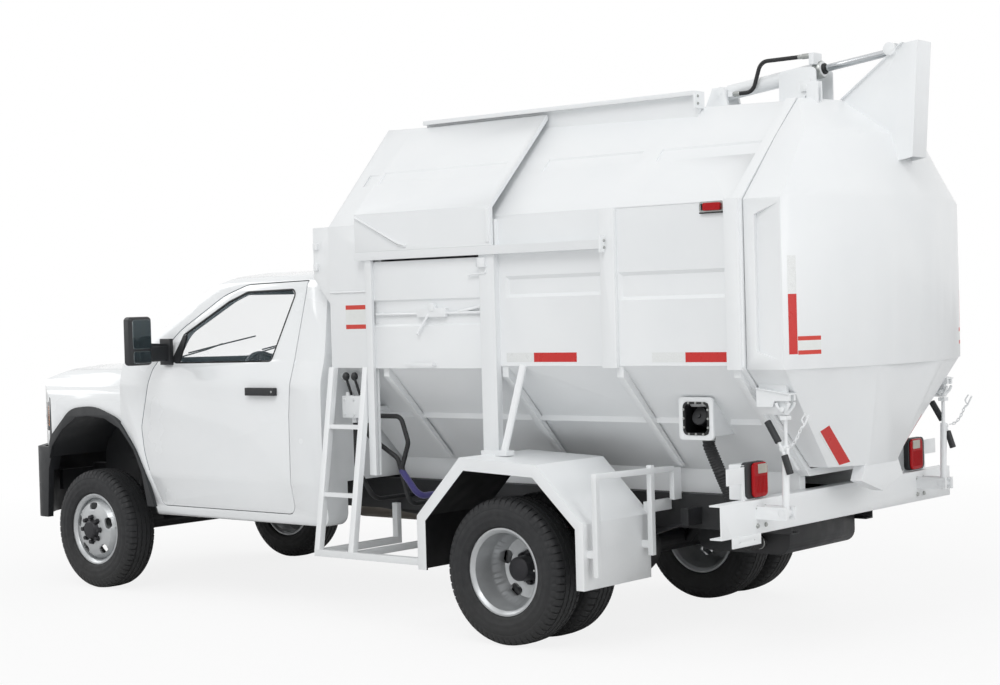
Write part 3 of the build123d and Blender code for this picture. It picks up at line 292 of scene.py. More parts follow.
def joinFlat(work):
    # flat neighbours become one face, pair by pair, only where they meet along a single run of edges,
    # so that a face around an opening stays open
    flat = edgeLook["flat"]
    for edge in [e for e in work.edges if len(e.link_faces) == 2 and e.calc_face_angle(9.0) < flat]:
        if not edge.is_valid or len(edge.link_faces) != 2:
            continue
        first, other = edge.link_faces
        common = set(first.edges) & set(other.edges)
        corners = set(first.verts) & set(other.verts)
        if first.material_index == other.material_index and len(corners) == len(common) + 1:
            bmesh.utils.face_join((first, other), True)
    straight = [v for v in work.verts if len(v.link_edges) == 2 and v.calc_edge_angle(9.0) < flat]
    bmesh.ops.dissolve_verts(work, verts=straight)


def softenNode(name, look, width=2.0, second=None, isSecond=None, keep=None, tag="Soft"):
    # a copy of the CAD piece, merged, its flat faces made whole, and its sharp edges rounded by width mm;
    # keep and isSecond are asked of each face's middle and normal, in mm from the rear axle
    work = bmesh.new()
    work.from_mesh(nodes[name].data)
    bmesh.ops.remove_doubles(work, verts=work.verts, dist=2e-6)
    middle = {f: ((f.calc_center_median() - Vector((axleX, 0, 0))) / mm, f.normal.copy()) for f in work.faces}
    if keep:
        bmesh.ops.delete(work, geom=[f for f in work.faces if not keep(*middle[f])], context="FACES")
    for f in work.faces:
        f.material_index = int(bool(isSecond and isSecond(*middle[f])))
    joinFlat(work)
    mesh = bpy.data.meshes.new(name + tag)
    work.to_mesh(mesh)
    work.free()
    made = finishPiece(name + tag, mesh, look, bodyOf[name], width * mm, 2, 0, (name,))
    if second:
        mesh.materials.append(finish[second])
    return made


# materials
def surface(name, look):
    # one shader: two close colours mottled together, a fine grain in its bump, and a third colour mixed in,
    # in streaks, towards the bottom
    made = bpy.data.materials.new(name)
    made.use_nodes = True
    tree = made.node_tree
    tree.nodes.clear()
    where = addNode(tree, "ShaderNodeTexCoord").outputs["Object"]
    scale = {key: 1 / (look[key] * mm) for key in ("patch", "grain", "cells", "weave") if key in look}
    patch = addNode(tree, "ShaderNodeTexNoise", {"Scale": scale["patch"], "Detail": 4.0}, {"Vector": where})
    share = patch.outputs["Fac"]
    grain = addNode(tree, "ShaderNodeTexNoise", {"Scale": scale["grain"], "Detail": 3.0}, {"Vector": where})
    height = grain.outputs["Fac"]
    if "cells" in look:
        cell = addNode(tree, "ShaderNodeTexVoronoi", {"Scale": scale["cells"]}, {"Vector": where})
        share = height = cell.outputs["Distance"]
    if "weave" in look:
        # at a scale of 1 the wave repeats every 0.314 m, so the threads stand the given distance apart
        ways = [addNode(tree, "ShaderNodeTexWave", {"bands_direction": way, "Scale": 0.314 * scale["weave"]},
                        {"Vector": where}).outputs["Fac"] for way in ("Y", "DIAGONAL")]
        height = addNode(tree, "ShaderNodeMath", {"operation": "MULTIPLY"},
                         {0: ways[0], 1: ways[1]}).outputs[0]
    colours = {"data_type": "RGBA", 6: linear(look["colour"]), 7: linear(look["second"])}
    colour = addNode(tree, "ShaderNodeMix", colours, {0: share}).outputs[2]
    # below its top height a third colour takes over in streaks: darker than the white paints, greyer than the
    # black ones
    if "lowMix" in look:
        rise = addNode(tree, "ShaderNodeSeparateXYZ", None, {0: where}).outputs["Z"]
        fade = {1: look["lowMixTop"] * mm, 2: 0.1, 3: 0.0, 4: look["lowMix"]}
        low = addNode(tree, "ShaderNodeMapRange", fade, {0: rise}).outputs[0]
        streak = addNode(tree, "ShaderNodeMath", {"operation": "MULTIPLY"}, {0: low, 1: patch.outputs["Fac"]})
        colour = addNode(tree, "ShaderNodeMix", {"data_type": "RGBA", 7: linear(look["lowMixColour"])},
                         {0: streak.outputs[0], 6: colour}).outputs[2]
    grooves = {"Strength": look["relief"], "Distance": look["grain"] * mm * 0.2}
    bump = addNode(tree, "ShaderNodeBump", grooves, {"Height": height})
    if "wave" in look:
        swell = addNode(tree, "ShaderNodeTexNoise", {"Scale": 2.2, "Detail": 1.0}, {"Vector": where})
        bump = addNode(tree, "ShaderNodeBump", {"Strength": 0.6, "Distance": look["wave"] * mm},
                       {"Height": swell.outputs["Fac"], "Normal": bump.outputs[0]})
    spread = {1: 0.3, 2: 0.7, 3: look["rough"] * 0.85, 4: look["rough"] * 1.2}
    rough = addNode(tree, "ShaderNodeMapRange", spread, {0: patch.outputs["Fac"]})
    shader = addNode(tree, "ShaderNodeBsdfPrincipled", look.get("sockets", {}),
                     {"Base Color": colour, "Roughness": rough.outputs[0], "Normal": bump.outputs[0]})
    addNode(tree, "ShaderNodeOutputMaterial", None, {"Surface": shader.outputs[0]})
    return made


looks = {
    # in mm: patch, grain, cells and weave are the size of a pattern, the top of the low colour a height, wave
    # a panel's swell
    # air-dried enamel sprayed on folded steel: an even white, faint orange peel, soft gloss and slight swell
    "sprayed white enamel": {
        "colour": "#eff1f2", "second": "#e6e9eb", "patch": 420, "grain": 9, "relief": 0.05, "rough": 0.36,
        "lowMix": 0.3, "lowMixTop": 900, "lowMixColour": "#c4c2bb", "wave": 5,
        "sockets": {"Coat Weight": 0.2, "Coat Roughness": 0.25}},
    # factory white under clear lacquer: a deeper gloss that mirrors the floor
    "lacquered white": {
        "colour": "#eff1f2", "second": "#eaedef", "patch": 500, "grain": 12, "relief": 0.02, "rough": 0.24,
        "lowMix": 0.25, "lowMixTop": 700, "lowMixColour": "#c6c5bf",
        "sockets": {"Coat Weight": 0.8, "Coat Roughness": 0.06}},
    # chassis black: thin waxy paint over mill scale, dusty near the road
    "chassis black": {
        "colour": "#151618", "second": "#202124", "patch": 90, "grain": 3, "relief": 0.25, "rough": 0.5,
        "lowMix": 0.2, "lowMixTop": 700, "lowMixColour": "#34322f"},
    # vulcanised rubber: near black, greyed by road dust, no shine
    "tyre rubber": {
        "colour": "#1b1c1e", "second": "#27282a", "patch": 40, "grain": 2.5, "relief": 0.3, "rough": 0.7,
        "lowMix": 0.4, "lowMixTop": 400, "lowMixColour": "#3c3b38"},
    # rolled steel wheel sprayed silver: pale, with a fine metallic sparkle
    "silver wheel steel": {
        "colour": "#c6c8c9", "second": "#b0b3b5", "patch": 60, "grain": 2.5, "relief": 0.1, "rough": 0.36,
        "sockets": {"Metallic": 0.65}},
    # phosphated hub and nuts: dark grey, oily
    "phosphated steel": {
        "colour": "#2c2c2f", "second": "#3a3a3d", "patch": 25, "grain": 2, "relief": 0.3, "rough": 0.45,
        "sockets": {"Metallic": 0.6}},
    # zinc-plated fasteners and hose fittings
    "zinc plate": {
        "colour": "#b9bbb8", "second": "#a2a5a4", "patch": 15, "grain": 2, "relief": 0.15, "rough": 0.32,
        "sockets": {"Metallic": 0.9}},
    # grained polypropylene: the soft black of flares, mirrors and bumper
    "grained black plastic": {
        "colour": "#1b1d1f", "second": "#27292c", "patch": 60, "grain": 2.2, "relief": 0.35, "rough": 0.48},
    # sand-cast iron left bare: dull and pitted
    "cast iron": {
        "colour": "#3e3f40", "second": "#55504b", "patch": 35, "grain": 3, "relief": 0.5, "rough": 0.62,
        "sockets": {"Metallic": 0.5}},
    # hard chrome on a ground rod
    "hard chrome": {
        "colour": "#d3d6d8", "second": "#c3c6c9", "patch": 200, "grain": 4, "relief": 0.02, "rough": 0.12,
        "sockets": {"Metallic": 1.0}},
    # silvered mirror glass
    "silvered glass": {
        "colour": "#c3cbcd", "second": "#bcc5c8", "patch": 200, "grain": 20, "relief": 0.01, "rough": 0.03,
        "sockets": {"Metallic": 1.0}},
    # aluminised exhaust steel, blued and browned by heat
    "exhaust steel": {
        "colour": "#7d766e", "second": "#96908a", "patch": 70, "grain": 3, "relief": 0.2, "rough": 0.45,
        "sockets": {"Metallic": 0.8}},
    # nitrile hose cover, wrapped and matt
    "hose rubber": {
        "colour": "#141517", "second": "#1e1f21", "patch": 25, "grain": 2, "relief": 0.3, "rough": 0.5},
    # woven nylon sleeve in violet blue
    "nylon sleeve": {
        "colour": "#2f2a63", "second": "#3b3676", "patch": 20, "grain": 2, "weave": 2.5, "relief": 0.5,
        "rough": 0.7, "sockets": {"Sheen Weight": 0.3}},
    # injection-moulded dashboard skin, blue grey
    "dashboard skin": {
        "colour": "#5c676e", "second": "#69747b", "patch": 60, "grain": 2.5, "relief": 0.3, "rough": 0.55},
    # pale grey pillar and roof lining
    "cab lining": {
        "colour": "#8f999f", "second": "#9aa4a9", "patch": 60, "grain": 2.5, "relief": 0.3, "rough": 0.7},
    # woven polyester seat cloth
    "seat cloth": {
        "colour": "#4d5155", "second": "#5b6064", "patch": 12, "grain": 2.5, "weave": 3, "relief": 0.6,
        "rough": 0.9, "sockets": {"Sheen Weight": 0.3}},
    # glass-bead reflective tape: small cells under a clear face
    "red reflective tape": {
        "colour": "#bd0f0b", "second": "#cf1d14", "patch": 60, "grain": 3, "cells": 4, "relief": 0.25,
        "rough": 0.3, "sockets": {"Coat Weight": 0.5}},
    "white reflective tape": {
        "colour": "#d9dcdb", "second": "#eceeee", "patch": 60, "grain": 3, "cells": 4, "relief": 0.25,
        "rough": 0.3, "sockets": {"Coat Weight": 0.5}},
    # moulded acrylic, milky: the tail lamp's reversing window
    "milky lens": {
        "colour": "#a9a699", "second": "#bdbab0", "patch": 20, "grain": 3, "relief": 0.1, "rough": 0.15,
        "sockets": {"Coat Weight": 0.6}},
    # printed vinyl, blank
    "blank vinyl": {
        "colour": "#dde0de", "second": "#e6e8e6", "patch": 30, "grain": 2, "relief": 0.05, "rough": 0.35},
    "red vinyl": {
        "colour": "#c9372c", "second": "#d0453a", "patch": 30, "grain": 2, "relief": 0.05, "rough": 0.35},
}
finish = {name: surface(name, look) for name, look in looks.items()}


def glassLike(name, colour, rough, index, weight, alpha):
    # clear bodies that let light through: the colour is set on the shader itself
    made = bpy.data.materials.new(name)
    made.use_nodes = True
    tree = made.node_tree
    tree.nodes.clear()
    where = addNode(tree, "ShaderNodeTexCoord").outputs["Object"]
    wave = addNode(tree, "ShaderNodeTexNoise", {"Scale": 6.0, "Detail": 1.0}, {"Vector": where})
    bump = addNode(tree, "ShaderNodeBump", {"Strength": 0.02, "Distance": 0.01},
                   {"Height": wave.outputs["Fac"]})
    sockets = {"Base Color": linear(colour), "Roughness": rough, "IOR": index, "Transmission Weight": weight,
               "Alpha": alpha}
    shader = addNode(tree, "ShaderNodeBsdfPrincipled", sockets, {"Normal": bump.outputs[0]})
    addNode(tree, "ShaderNodeOutputMaterial", None, {"Surface": shader.outputs[0]})
    return made


clearLooks = {
    # colour, roughness, IOR, share that light passes through, and opacity of a thin pane
    "tinted cab glass": ("#9fb2ba", 0.02, 1.5, 0.0, 0.05),      # toughened: a faint tint and a sharp mirror
    "clear lens": ("#eef2f4", 0.05, 1.3, 1.0, 1.0),             # moulded polycarbonate
    "red lens": ("#c0141c", 0.15, 1.3, 0.25, 1.0),              # dyed acrylic
    "amber lens": ("#e0801c", 0.15, 1.3, 0.25, 1.0),
}
finish.update({name: glassLike(name, *look) for name, look in clearLooks.items()})
print("materials made:", len(finish))

# CAD pieces that keep their own shape
# each wheel's axle station, the outer face of its disc, and its height
wheelAt = {"front_rim": (3800, 1006.5, wheelHeight), "rear_rims": (0, 955.5, wheelHeight)}
# limits, in mm from the rear axle, of the faces that wear a second finish
faceLook = {"hubRadius": 96, "liningFoot": 835, "linerX": (3150, 4300), "linerY": 972, "linerTop": 1190,
            "fenderY": 1234, "fenderRadius": 690, "sillFoot": 790.5, "sillY": 365, "sillEnd": 1700}


def isHub(kind):
    # the hub's cap and nuts stand outside the disc, near the axle's line
    x0, y0, z0 = wheelAt[kind]
    return lambda c, n: np.hypot(c.x - x0, c.z - z0) < faceLook["hubRadius"] and abs(c.y) > y0 + 0.5


cabMiddle = Vector((2500, 0, 1400))


def isLining(c, n):
    # faces of the cab's shell that look at its middle
    return n.dot((cabMiddle - c).normalized()) > 0.35 and c.z > faceLook["liningFoot"]


keptNodes = {
    # finish: the nodes that wear it, each with the radius of its edges
    "sprayed white enamel": {"tank_body": 2.5, "cover_left": 2, "cover_right": 2, "drop_door_left": 2,
                             "drop_door_right": 2, "tailgate": 3, "rear_bumper": 2, "side_ladders": 2.5,
                             "valve": 2, "cylinder_barrel": 2, "latch_left": 1.5, "latch_right": 1.5},
    "lacquered white": {"hood": 7},
    "chassis black": {"axles": 3, "suspension": 2, "fuel_system": 3},
    "grained black plastic": {"front_trim": 4, "mirror_left": 3, "mirror_right": 3},
    "cast iron": {"engine": 4, "knuckle_left": 2, "knuckle_right": 2},
    "exhaust steel": {"exhaust": 3},
    "hard chrome": {"cylinder_rod": 1},
    "hose rubber": {"hoses": 0},
    "tinted cab glass": {"cab_glass": 1, "door_glass_left": 1, "door_glass_right": 1},
    "dashboard skin": {"dashboard": 6},
}
for look, group in keptNodes.items():
    for node, width in group.items():
        softenNode(node, look, width)
for node, width in {"cab": 7, "door_left": 4, "door_right": 4}.items():
    softenNode(node, "lacquered white", width, "cab lining", isLining)


def isWingLiner(c, n):
    # the moulded liner of the front arch, inboard of the wing's skin
    start, end = faceLook["linerX"]
    return start < c.x < end and abs(c.y) < faceLook["linerY"] and c.z < faceLook["linerTop"]


def isUnderFender(c, n):
    # the fender's faces that look at the wheel carry underseal
    inward = Vector((-c.x, 0, wheelHeight - c.z))
    near = abs(c.y) < faceLook["fenderY"] and inward.length < faceLook["fenderRadius"]
    return near and n.dot(inward.normalized()) > 0.4


def isSill(c, n):
    # the body's two sills lie on the rails and are sprayed with the body
    return c.z > faceLook["sillFoot"] and abs(c.y) < faceLook["sillY"] and c.x < faceLook["sillEnd"]


softenNode("frame", "chassis black", 2, "sprayed white enamel", isSill)
softenNode("front_wings", "lacquered white", 7, "grained black plastic", isWingLiner)
softenNode("rear_fenders", "sprayed white enamel", 2.5, "chassis black", isUnderFender)
for kind in wheelAt:
    for side in ("left", "right"):
        softenNode(f"{kind}_{side}", "silver wheel steel", 2, "phosphated steel", isHub(kind))
print("CAD pieces finished")

# tyres: half of the section from the crown to the bead, mirrored, carried round the axle
tyreLook = {
    # radius, distance from the wheel's middle, depth lost in a shoulder slot, swing of the groove's edge
    "half": [(404, 0, 0, 0), (403.9, 15, 0, 2.5), (397, 16.5, 0, 2.5), (397, 22.5, 0, 2.5),
             (403.7, 24, 0, 2.5), (403, 38, 0, 0), (402.2, 51, 0, 2), (395.2, 52.5, 0, 2),
             (395.2, 58.5, 0, 2), (401.6, 60, 1, 2), (401.4, 61, 7, 0), (399.2, 78, 8, 0),
             (394, 90, 8, 0), (387, 98, 7, 0), (377, 103.5, 5, 0), (365, 108.5, 3, 0),
             (353, 112.5, 1, 0), (346, 113.6, 0, 0), (343, 112.6, 0, 0), (339, 114.6, 0, 0),
             (330, 116.0, 0, 0), (321, 117.3, 0, 0), (315, 117.3, 0, 0), (311, 116.3, 0, 0),
             (296, 116.0, 0, 0), (290, 116.8, 0, 0), (285, 116.6, 0, 0), (281, 114.6, 0, 0),
             (270, 112.2, 0, 0), (262, 109, 0, 0), (256, 109, 0, 0), (250, 104, 0, 0), (246, 100, 0, 0),
             (243, 94, 0, 0), (241.5, 87, 0, 0), (223, 86.7, 0, 0)],
    # within one pitch: the place, 1 in the shoulder slot, and the way of the swing
    "pitches": 60, "pitch": [(0, 0, -1), (0.80, 0, 1), (0.83, 1, 1), (0.97, 1, -1)],
}


def tyreShape(x, y):
    # radius: the profile's, less the slot's depth inside a slot; side: the profile's, plus a swing to and fro
    half = np.array(tyreLook["half"], float)
    whole = np.concatenate([half, (half * np.array([1, -1, 1, 1]))[:0:-1]])
    pitch, slot, swing = np.array(tyreLook["pitch"]).T
    count = tyreLook["pitches"]
    turn = 2 * np.pi * (np.arange(count)[:, None] + pitch).ravel() / count
    radius = whole[:, :1] - whole[:, 2:3] * np.tile(slot, count)
    side = whole[:, 1:2] + whole[:, 3:4] * np.tile(swing, count)
    points = np.stack([x + radius * np.cos(turn), y + side, wheelHeight + radius * np.sin(turn)], -1)
    return gridShape(points, closeU=True, closeV=True)


tyreAt = {"front_tyre": [(3800, 887.5)], "rear_tyres": [(0, 787.5), (0, 1097.5)]}
for kind, places in tyreAt.items():
    for side in ("left", "right"):
        shapes = onSide(side, [tyreShape(*p) for p in places])
        node = f"{kind}_{side}"
        makePiece(node + "Tread", shapes, "tyre rubber", bodyOf[node], slotOf[node], stands=(node,))

# wheel nuts and valve stems
nutLook = {"circle": 82.5, "count": 8, "radius": 15.5, "height": {"front_rim": 27.0, "rear_rims": 26.0}}
stemLook = {"foot": (-214, -26, 20), "top": (-205, 8, 20), "radius": 6,
            "rimY": {"front_rim": 970, "rear_rims": 1175}}
for kind, (x0, faceY, z0) in wheelAt.items():
    turn = np.arange(nutLook["count"]) * 2 * np.pi / nutLook["count"]
    circle = nutLook["circle"]
    spots = [(x0 + circle * np.cos(a), faceY - 1, z0 + circle * np.sin(a)) for a in turn]
    nuts = [boltShape(s, 1, nutLook["radius"], nutLook["height"][kind]) for s in spots]
    rimPlace = np.array([x0, stemLook["rimY"][kind], z0])
    stem = sleeveShape(rimPlace + stemLook["foot"], rimPlace + stemLook["top"], stemLook["radius"])
    for side in ("left", "right"):
        node = f"{kind}_{side}"
        makePiece(node + "Nuts", onSide(side, nuts), "phosphated steel", bodyOf[node], slotOf[node], bevel=1)
        makePiece(node + "Stem", onSide(side, [stem]), "zinc plate", bodyOf[node], slotOf[node])
print("wheels dressed")

# reflective tapes and blank stickers, cut flat and pressed on to the surface under them
tapeLook = {"thick": 0.6, "gap": 0.05, "rows": 12, "standOff": 120}


def pressedShape(node, corners, way):
    # a net of rays between four corners runs along way and stops on the CAD face;
    # the film's top stands on it by its thickness and its underside by a small share of that
    mesh = nodes[node].data
    tree = BVHTree.FromPolygons([v.co for v in mesh.vertices], [list(p.vertices) for p in mesh.polygons])
    a, b, c, d = np.asarray(corners, float)
    rows = tapeLook["rows"]
    s, t = np.meshgrid(np.linspace(0, 1, rows), np.linspace(0, 1, rows), indexing="ij")
    s, t = s[..., None], t[..., None]
    flat = (a * (1 - s) + b * s) * (1 - t) + (d * (1 - s) + c * s) * t
    way = np.asarray(way, float) / np.linalg.norm(way)
    starts = place(flat - way * tapeLook["standOff"]).reshape(-1, 3)
    hits = [tree.ray_cast(Vector(p), Vector(way))[0] for p in starts]
    if None in hits:
        raise SystemExit("a film misses " + node)
    seat = ((np.array(hits) - np.array([axleX, 0, 0])) / mm).reshape(flat.shape)
    bottom, top = [seat - way * (lift * tapeLook["thick"]) for lift in (tapeLook["gap"], 1.0)]
    last = rows - 1
    edge = [(0, k) for k in range(rows)] + [(k, last) for k in range(1, rows)]
    edge += [(last, k) for k in range(last - 1, -1, -1)] + [(k, 0) for k in range(last - 1, 0, -1)]
    rim = np.stack([np.array([side[e] for e in edge]) for side in (bottom, top)])
    return [gridShape(top), gridShape(bottom), gridShape(rim, closeV=True)]


def uprightFilm(start, end, z0, z1):
    # the corners of a film that runs between two places in plan, from one height to another
    return [(*start, z0), (*end, z0), (*end, z1), (*start, z1)]


def sideFilm(x0, x1, z0, z1):
    return uprightFilm((x0, 960), (x1, 960), z0, z1)


intoSide, intoTail, intoSlant = (0, -1, 0), (0.85, -0.5, 0), (0.72, -0.39, 0.57)
tailStrip, tailFace = ((-1700, 946), (-1724, 903)), ((-1724, 900), (-1784, 776))
slantRed = [(-1577, 318, 965), (-1613, 266, 980), (-1632, 504, 1186), (-1599, 540, 1157)]
slantWhite = [(-1574, 326, 963), (-1577, 318, 965), (-1599, 540, 1157), (-1591, 547, 1150)]
films = {
    # name: node, finish, corners, way of the rays
    "BandRedFront": ("tank_body", "red reflective tape", sideFilm(-355, -59, 1532, 1583), intoSide),
    "BandWhiteFront": ("tank_body", "white reflective tape", sideFilm(-59, 135, 1532, 1583), intoSide),
    "BandRedRear": ("tank_body", "red reflective tape", sideFilm(-1322, -1060, 1529, 1580), intoSide),
    "BandWhiteRear": ("tank_body", "white reflective tape", sideFilm(-1060, -851, 1529, 1580), intoSide),
    "SideSticker": ("tank_body", "blank vinyl", sideFilm(1203, 1376, 1757, 1846), intoSide),
    "SideStickerTop": ("tank_body", "red vinyl", sideFilm(1203, 1376, 1846, 1872), intoSide),
    "SideStickerFoot": ("tank_body", "red vinyl", sideFilm(1203, 1376, 1731, 1757), intoSide),
    "TailRed": ("tailgate", "red reflective tape", uprightFilm(*tailStrip, 1565, 1864), intoTail),
    "TailWhite": ("tailgate", "white reflective tape", uprightFilm(*tailStrip, 1864, 2054), intoTail),
    "TailSticker": ("tailgate", "blank vinyl", uprightFilm(*tailFace, 1583, 1632), intoTail),
    "TailStickerTop": ("tailgate", "red vinyl", uprightFilm(*tailFace, 1632, 1653), intoTail),
    "TailStickerFoot": ("tailgate", "red vinyl", uprightFilm(*tailFace, 1562, 1583), intoTail),
    "TailSlantRed": ("tailgate", "red reflective tape", slantRed, intoSlant),
    "TailSlantWhite": ("tailgate", "white reflective tape", slantWhite, intoSlant),
}
for name, (node, look, corners, way) in films.items():
    makePiece("film" + name, bothSides(pressedShape(node, corners, way)), look, bodyOf[node], slotOf[node])
print("tapes and stickers pressed on")

# side marker lamps
x0, x1, z0, z1 = -1318, -1170, 2289, 2345
markerLook = {
    # outline and its corner radius, limits across, finish, bevel and its steps
    "Base": ((x0, x1, z0, z1, 14), (949, 956), "zinc plate", 1.5, 2),
    "Lens": ((x0 + 14, x1 - 30, z0 + 8, z1 - 8, 10), (956, 974), "red lens", 5, 3),
    "Clear": ((x1 - 30, x1 - 12, z0 + 10, z1 - 10, 8), (956, 968), "clear lens", 3, 2),
}
for part, (outline, depth, look, bevel, segments) in markerLook.items():
    shape = prismShape(roundedBox(*outline), *depth)
    makePiece("marker" + part, bothSides([shape]), look, bevel=bevel, segments=segments)
shield = blockShape(x0 + 6, x1 - 6, 949, 966, z0 - 6, z0 + 1)
makePiece("markerShield", bothSides([shield]), "hose rubber", bevel=1.5)

# tail lamps: the case carries a black housing, a red lens, a milky window and the lens's ribs
tailLampLook = {
    "Housing": ((762, 948, 838, 1022, 30), (-1408, -1372), "grained black plastic", 5, 3),
    "Lens": ((766, 905, 842, 1018, 28), (-1424, -1406), "red lens", 9, 4),
    "Window": ((780, 862, 962, 1010, 6), (-1428, -1418), "milky lens", 2, 2),
}
lampCase = blockShape(-1400, -1300, 790, 945, 832.3, 1010)
makePiece("tailLampCase", bothSides([lampCase]), "sprayed white enamel", slot="lamp_lens", bevel=6,
          stands=("lamps",))
for part, (outline, depth, look, bevel, segments) in tailLampLook.items():
    shape = prismShape(roundedBox(*outline), *depth, "x")
    makePiece("tailLamp" + part, bothSides([shape]), look, bevel=bevel, segments=segments)
ribs = [blockShape(-1426, -1422, y - 1, y + 1, 862, 950) for y in np.linspace(786, 886, 9)]
makePiece("tailLampRibs", bothSides(ribs), "red lens", bevel=0.8)

# headlamps: each bowl is turned round the line of its bulb
headlampLook = {
    "bowl": [(20, 0), (26, 4), (45, 14), (62, 34), (70, 58), (72, 60), (74, 58), (66, 30), (48, 8),
             (24, -6), (0, -6)],
    "lamps": [((4440, 690, 1162), 1.0), ((4385, 835, 1162), 0.78)],       # place and scale
    "bulbs": [((4445, 690, 1162), (4478, 690, 1162), 11), ((4388, 835, 1162), (4415, 835, 1162), 9)],
    "turn": (4322, 4342, 890, 922, 1090, 1230),
}
softenNode("lamps", "clear lens", 3, keep=lambda c, n: c.x > 3000, tag="Front")
bowls = [latheShape(np.array(headlampLook["bowl"]) * scale, spot, 40, 0)
         for spot, scale in headlampLook["lamps"]]
bulbs = [sleeveShape(*bulb) for bulb in headlampLook["bulbs"]]
makePiece("headlampBowls", bothSides(bowls), "hard chrome", slot="lamp_lens")
makePiece("headlampBulbs", bothSides(bulbs), "clear lens")
makePiece("headlampTurn", bothSides([blockShape(*headlampLook["turn"])]), "amber lens", bevel=6, segments=3)
print("lamps lit")

# the lifting cylinder's hose with its fittings, its wiper ring and the nut of its gland
cylinderLook = {
    "base": (-722, 0, 3000), "eye": (-1800, 0, 3128), "wiper": (636, 654, 30),
    "hose": [(-820.3, 64, 2985), (-945, 64, 2985), (-1000, 64, 3146), (-1310.7, 64, 3146)],
    "hoseBend": 60, "hoseRadius": 11.5,
    "fittings": [((-822, 64, 2985), (-862, 64, 2985), 15), ((-1311, 64, 3146), (-1262, 64, 3146), 15),
                 ((-1262, 64, 3146), (-1238, 64, 3146), 12.5)],
    # distance from the base and radius; the bore stays 3 mm clear of the rod
    "gland": [(590, 43.5), (590, 45), (592, 47), (634, 47), (638, 44), (638, 23), (634, 23), (634, 43)],
}
roofLine = bentLine(cylinderLook["hose"], cylinderLook["hoseBend"], 6)
makePiece("roofHose", [tubeShape(roofLine, cylinderLook["hoseRadius"], 16)], "hose rubber", "barrel")
makePiece("roofFittings", [sleeveShape(*f) for f in cylinderLook["fittings"]], "zinc plate", "barrel")
base, eye = np.array(cylinderLook["base"], float), np.array(cylinderLook["eye"], float)
run = (eye - base) / np.linalg.norm(eye - base)
start, end, radius = cylinderLook["wiper"]
wiperRing = sleeveShape(base + run * start, base + run * end, radius, 28)
makePiece("rodWiper", [wiperRing], "hose rubber", "barrel")
over = np.cross(run, (0, 1, 0))
turn = np.linspace(0, 2 * np.pi, 36, endpoint=False)[:, None]
ring = [base + run * at + (np.cos(turn) * (0, 1, 0) + np.sin(turn) * over) * size
        for at, size in cylinderLook["gland"]]
makePiece("glandNut", [gridShape(np.stack(ring), closeU=True, closeV=True)], "zinc plate", "barrel")

# the flange along the upper edge of each plate of the tailgate's horn
flangeLook = {"edge": [(-1505, 2888), (-1868, 3150)], "rise": (-4, 6), "y": (56, 96)}
edge = np.array(flangeLook["edge"])
flange = prismShape(np.concatenate([edge, edge[::-1] + np.array(flangeLook["rise"])]), *flangeLook["y"])
makePiece("hornFlange", bothSides([flange]), "sprayed white enamel", "tailgate", bevel=1)

# filler pocket: gasket, bolts, black lining and cap
fillerLook = {
    "outer": (-1099, -936, 1142, 1317, 30), "inner": (-1087, -948, 1154, 1305, 24), "y": (804, 809),
    "boltRadius": 5.5, "boltX": (-1062, -1017.5, -973), "boltZ": (1183, 1229.5, 1276),
    "neck": [(-1016, 640, 1190), (-1016, 745, 1230)],
    # distance along the neck and radius
    "cap": [(0, 41), (4, 47), (26, 47), (30, 43), (31, 30), (31.5, 12), (40, 11), (40.5, 6)],
}
gasket = frameShape(roundedBox(*fillerLook["outer"]), roundedBox(*fillerLook["inner"]), *fillerLook["y"])
makePiece("fillerGasket", [gasket], "hose rubber", bevel=0.8)
spots = [(x, 809, z) for x in fillerLook["boltX"] for z in (1148, 1311)]
spots += [(x, 809, z) for z in fillerLook["boltZ"] for x in (-1093, -942)]
makePiece("fillerBolts", [boltShape(s, 1, fillerLook["boltRadius"], 5) for s in spots], "zinc plate")
x0, x1, z0, z1 = fillerLook["inner"][:4]
wide = (x0 - 5, x1 + 5, z0 - 5, z1 + 5)
floorY = (z0 - 548, z1 - 545)      # the pocket's floor follows the body's lower slope, where y grows with z
wall = [[(x0, 805, z0), (x1, 805, z0), (x1, 805, z1), (x0, 805, z1)],
        [(wide[0], 790, wide[2]), (wide[1], 790, wide[2]), (wide[1], 790, wide[3]), (wide[0], 790, wide[3])],
        [(wide[0], floorY[0], wide[2]), (wide[1], floorY[0], wide[2]),
         (wide[1], floorY[1], wide[3]), (wide[0], floorY[1], wide[3])]]
lining = gridShape(np.array(wall), closeV=True)
lining[1].append([8, 9, 10, 11])
makePiece("fillerLining", [lining], "hose rubber", solid=1.5)
neck = np.array(fillerLook["neck"], float)
way = (neck[1] - neck[0]) / np.linalg.norm(neck[1] - neck[0])
along, radius = np.array(fillerLook["cap"]).T
makePiece("fillerCap", [tubeShape(neck[1] + way * along[:, None], radius, 24)], "grained black plastic",
          bevel=1)

# corrugated filler hose: the radius swings by a sine along the CAD hose's line
hoseLook = {
    "line": [(-1016, 690, 1134), (-1016, 690, 1080), (-1075, 680, 940), (-1110, 560, 700), (-1110, 500, 540),
             (-1110, 350, 540)],
    "bend": 66, "step": 2.5, "radius": 32.5, "swing": 2.2, "pitch": 15,
    "clampRadius": 37,
    "clamps": [((-1016, 690, 1122), (-1016, 690, 1106)), ((-1110, 366, 540), (-1110, 380, 540))],
}
line = bentLine(hoseLook["line"], hoseLook["bend"], hoseLook["step"])
length = np.arange(len(line)) * hoseLook["step"]
swell = hoseLook["radius"] + hoseLook["swing"] * np.sin(2 * np.pi * length / hoseLook["pitch"])
makePiece("fillerHose", [tubeShape(line, swell, 24)], "hose rubber")
clamps = [sleeveShape(a, b, hoseLook["clampRadius"], 24) for a, b in hoseLook["clamps"]]
makePiece("fillerClamps", clamps, "zinc plate")
print("hydraulics and filler dressed")

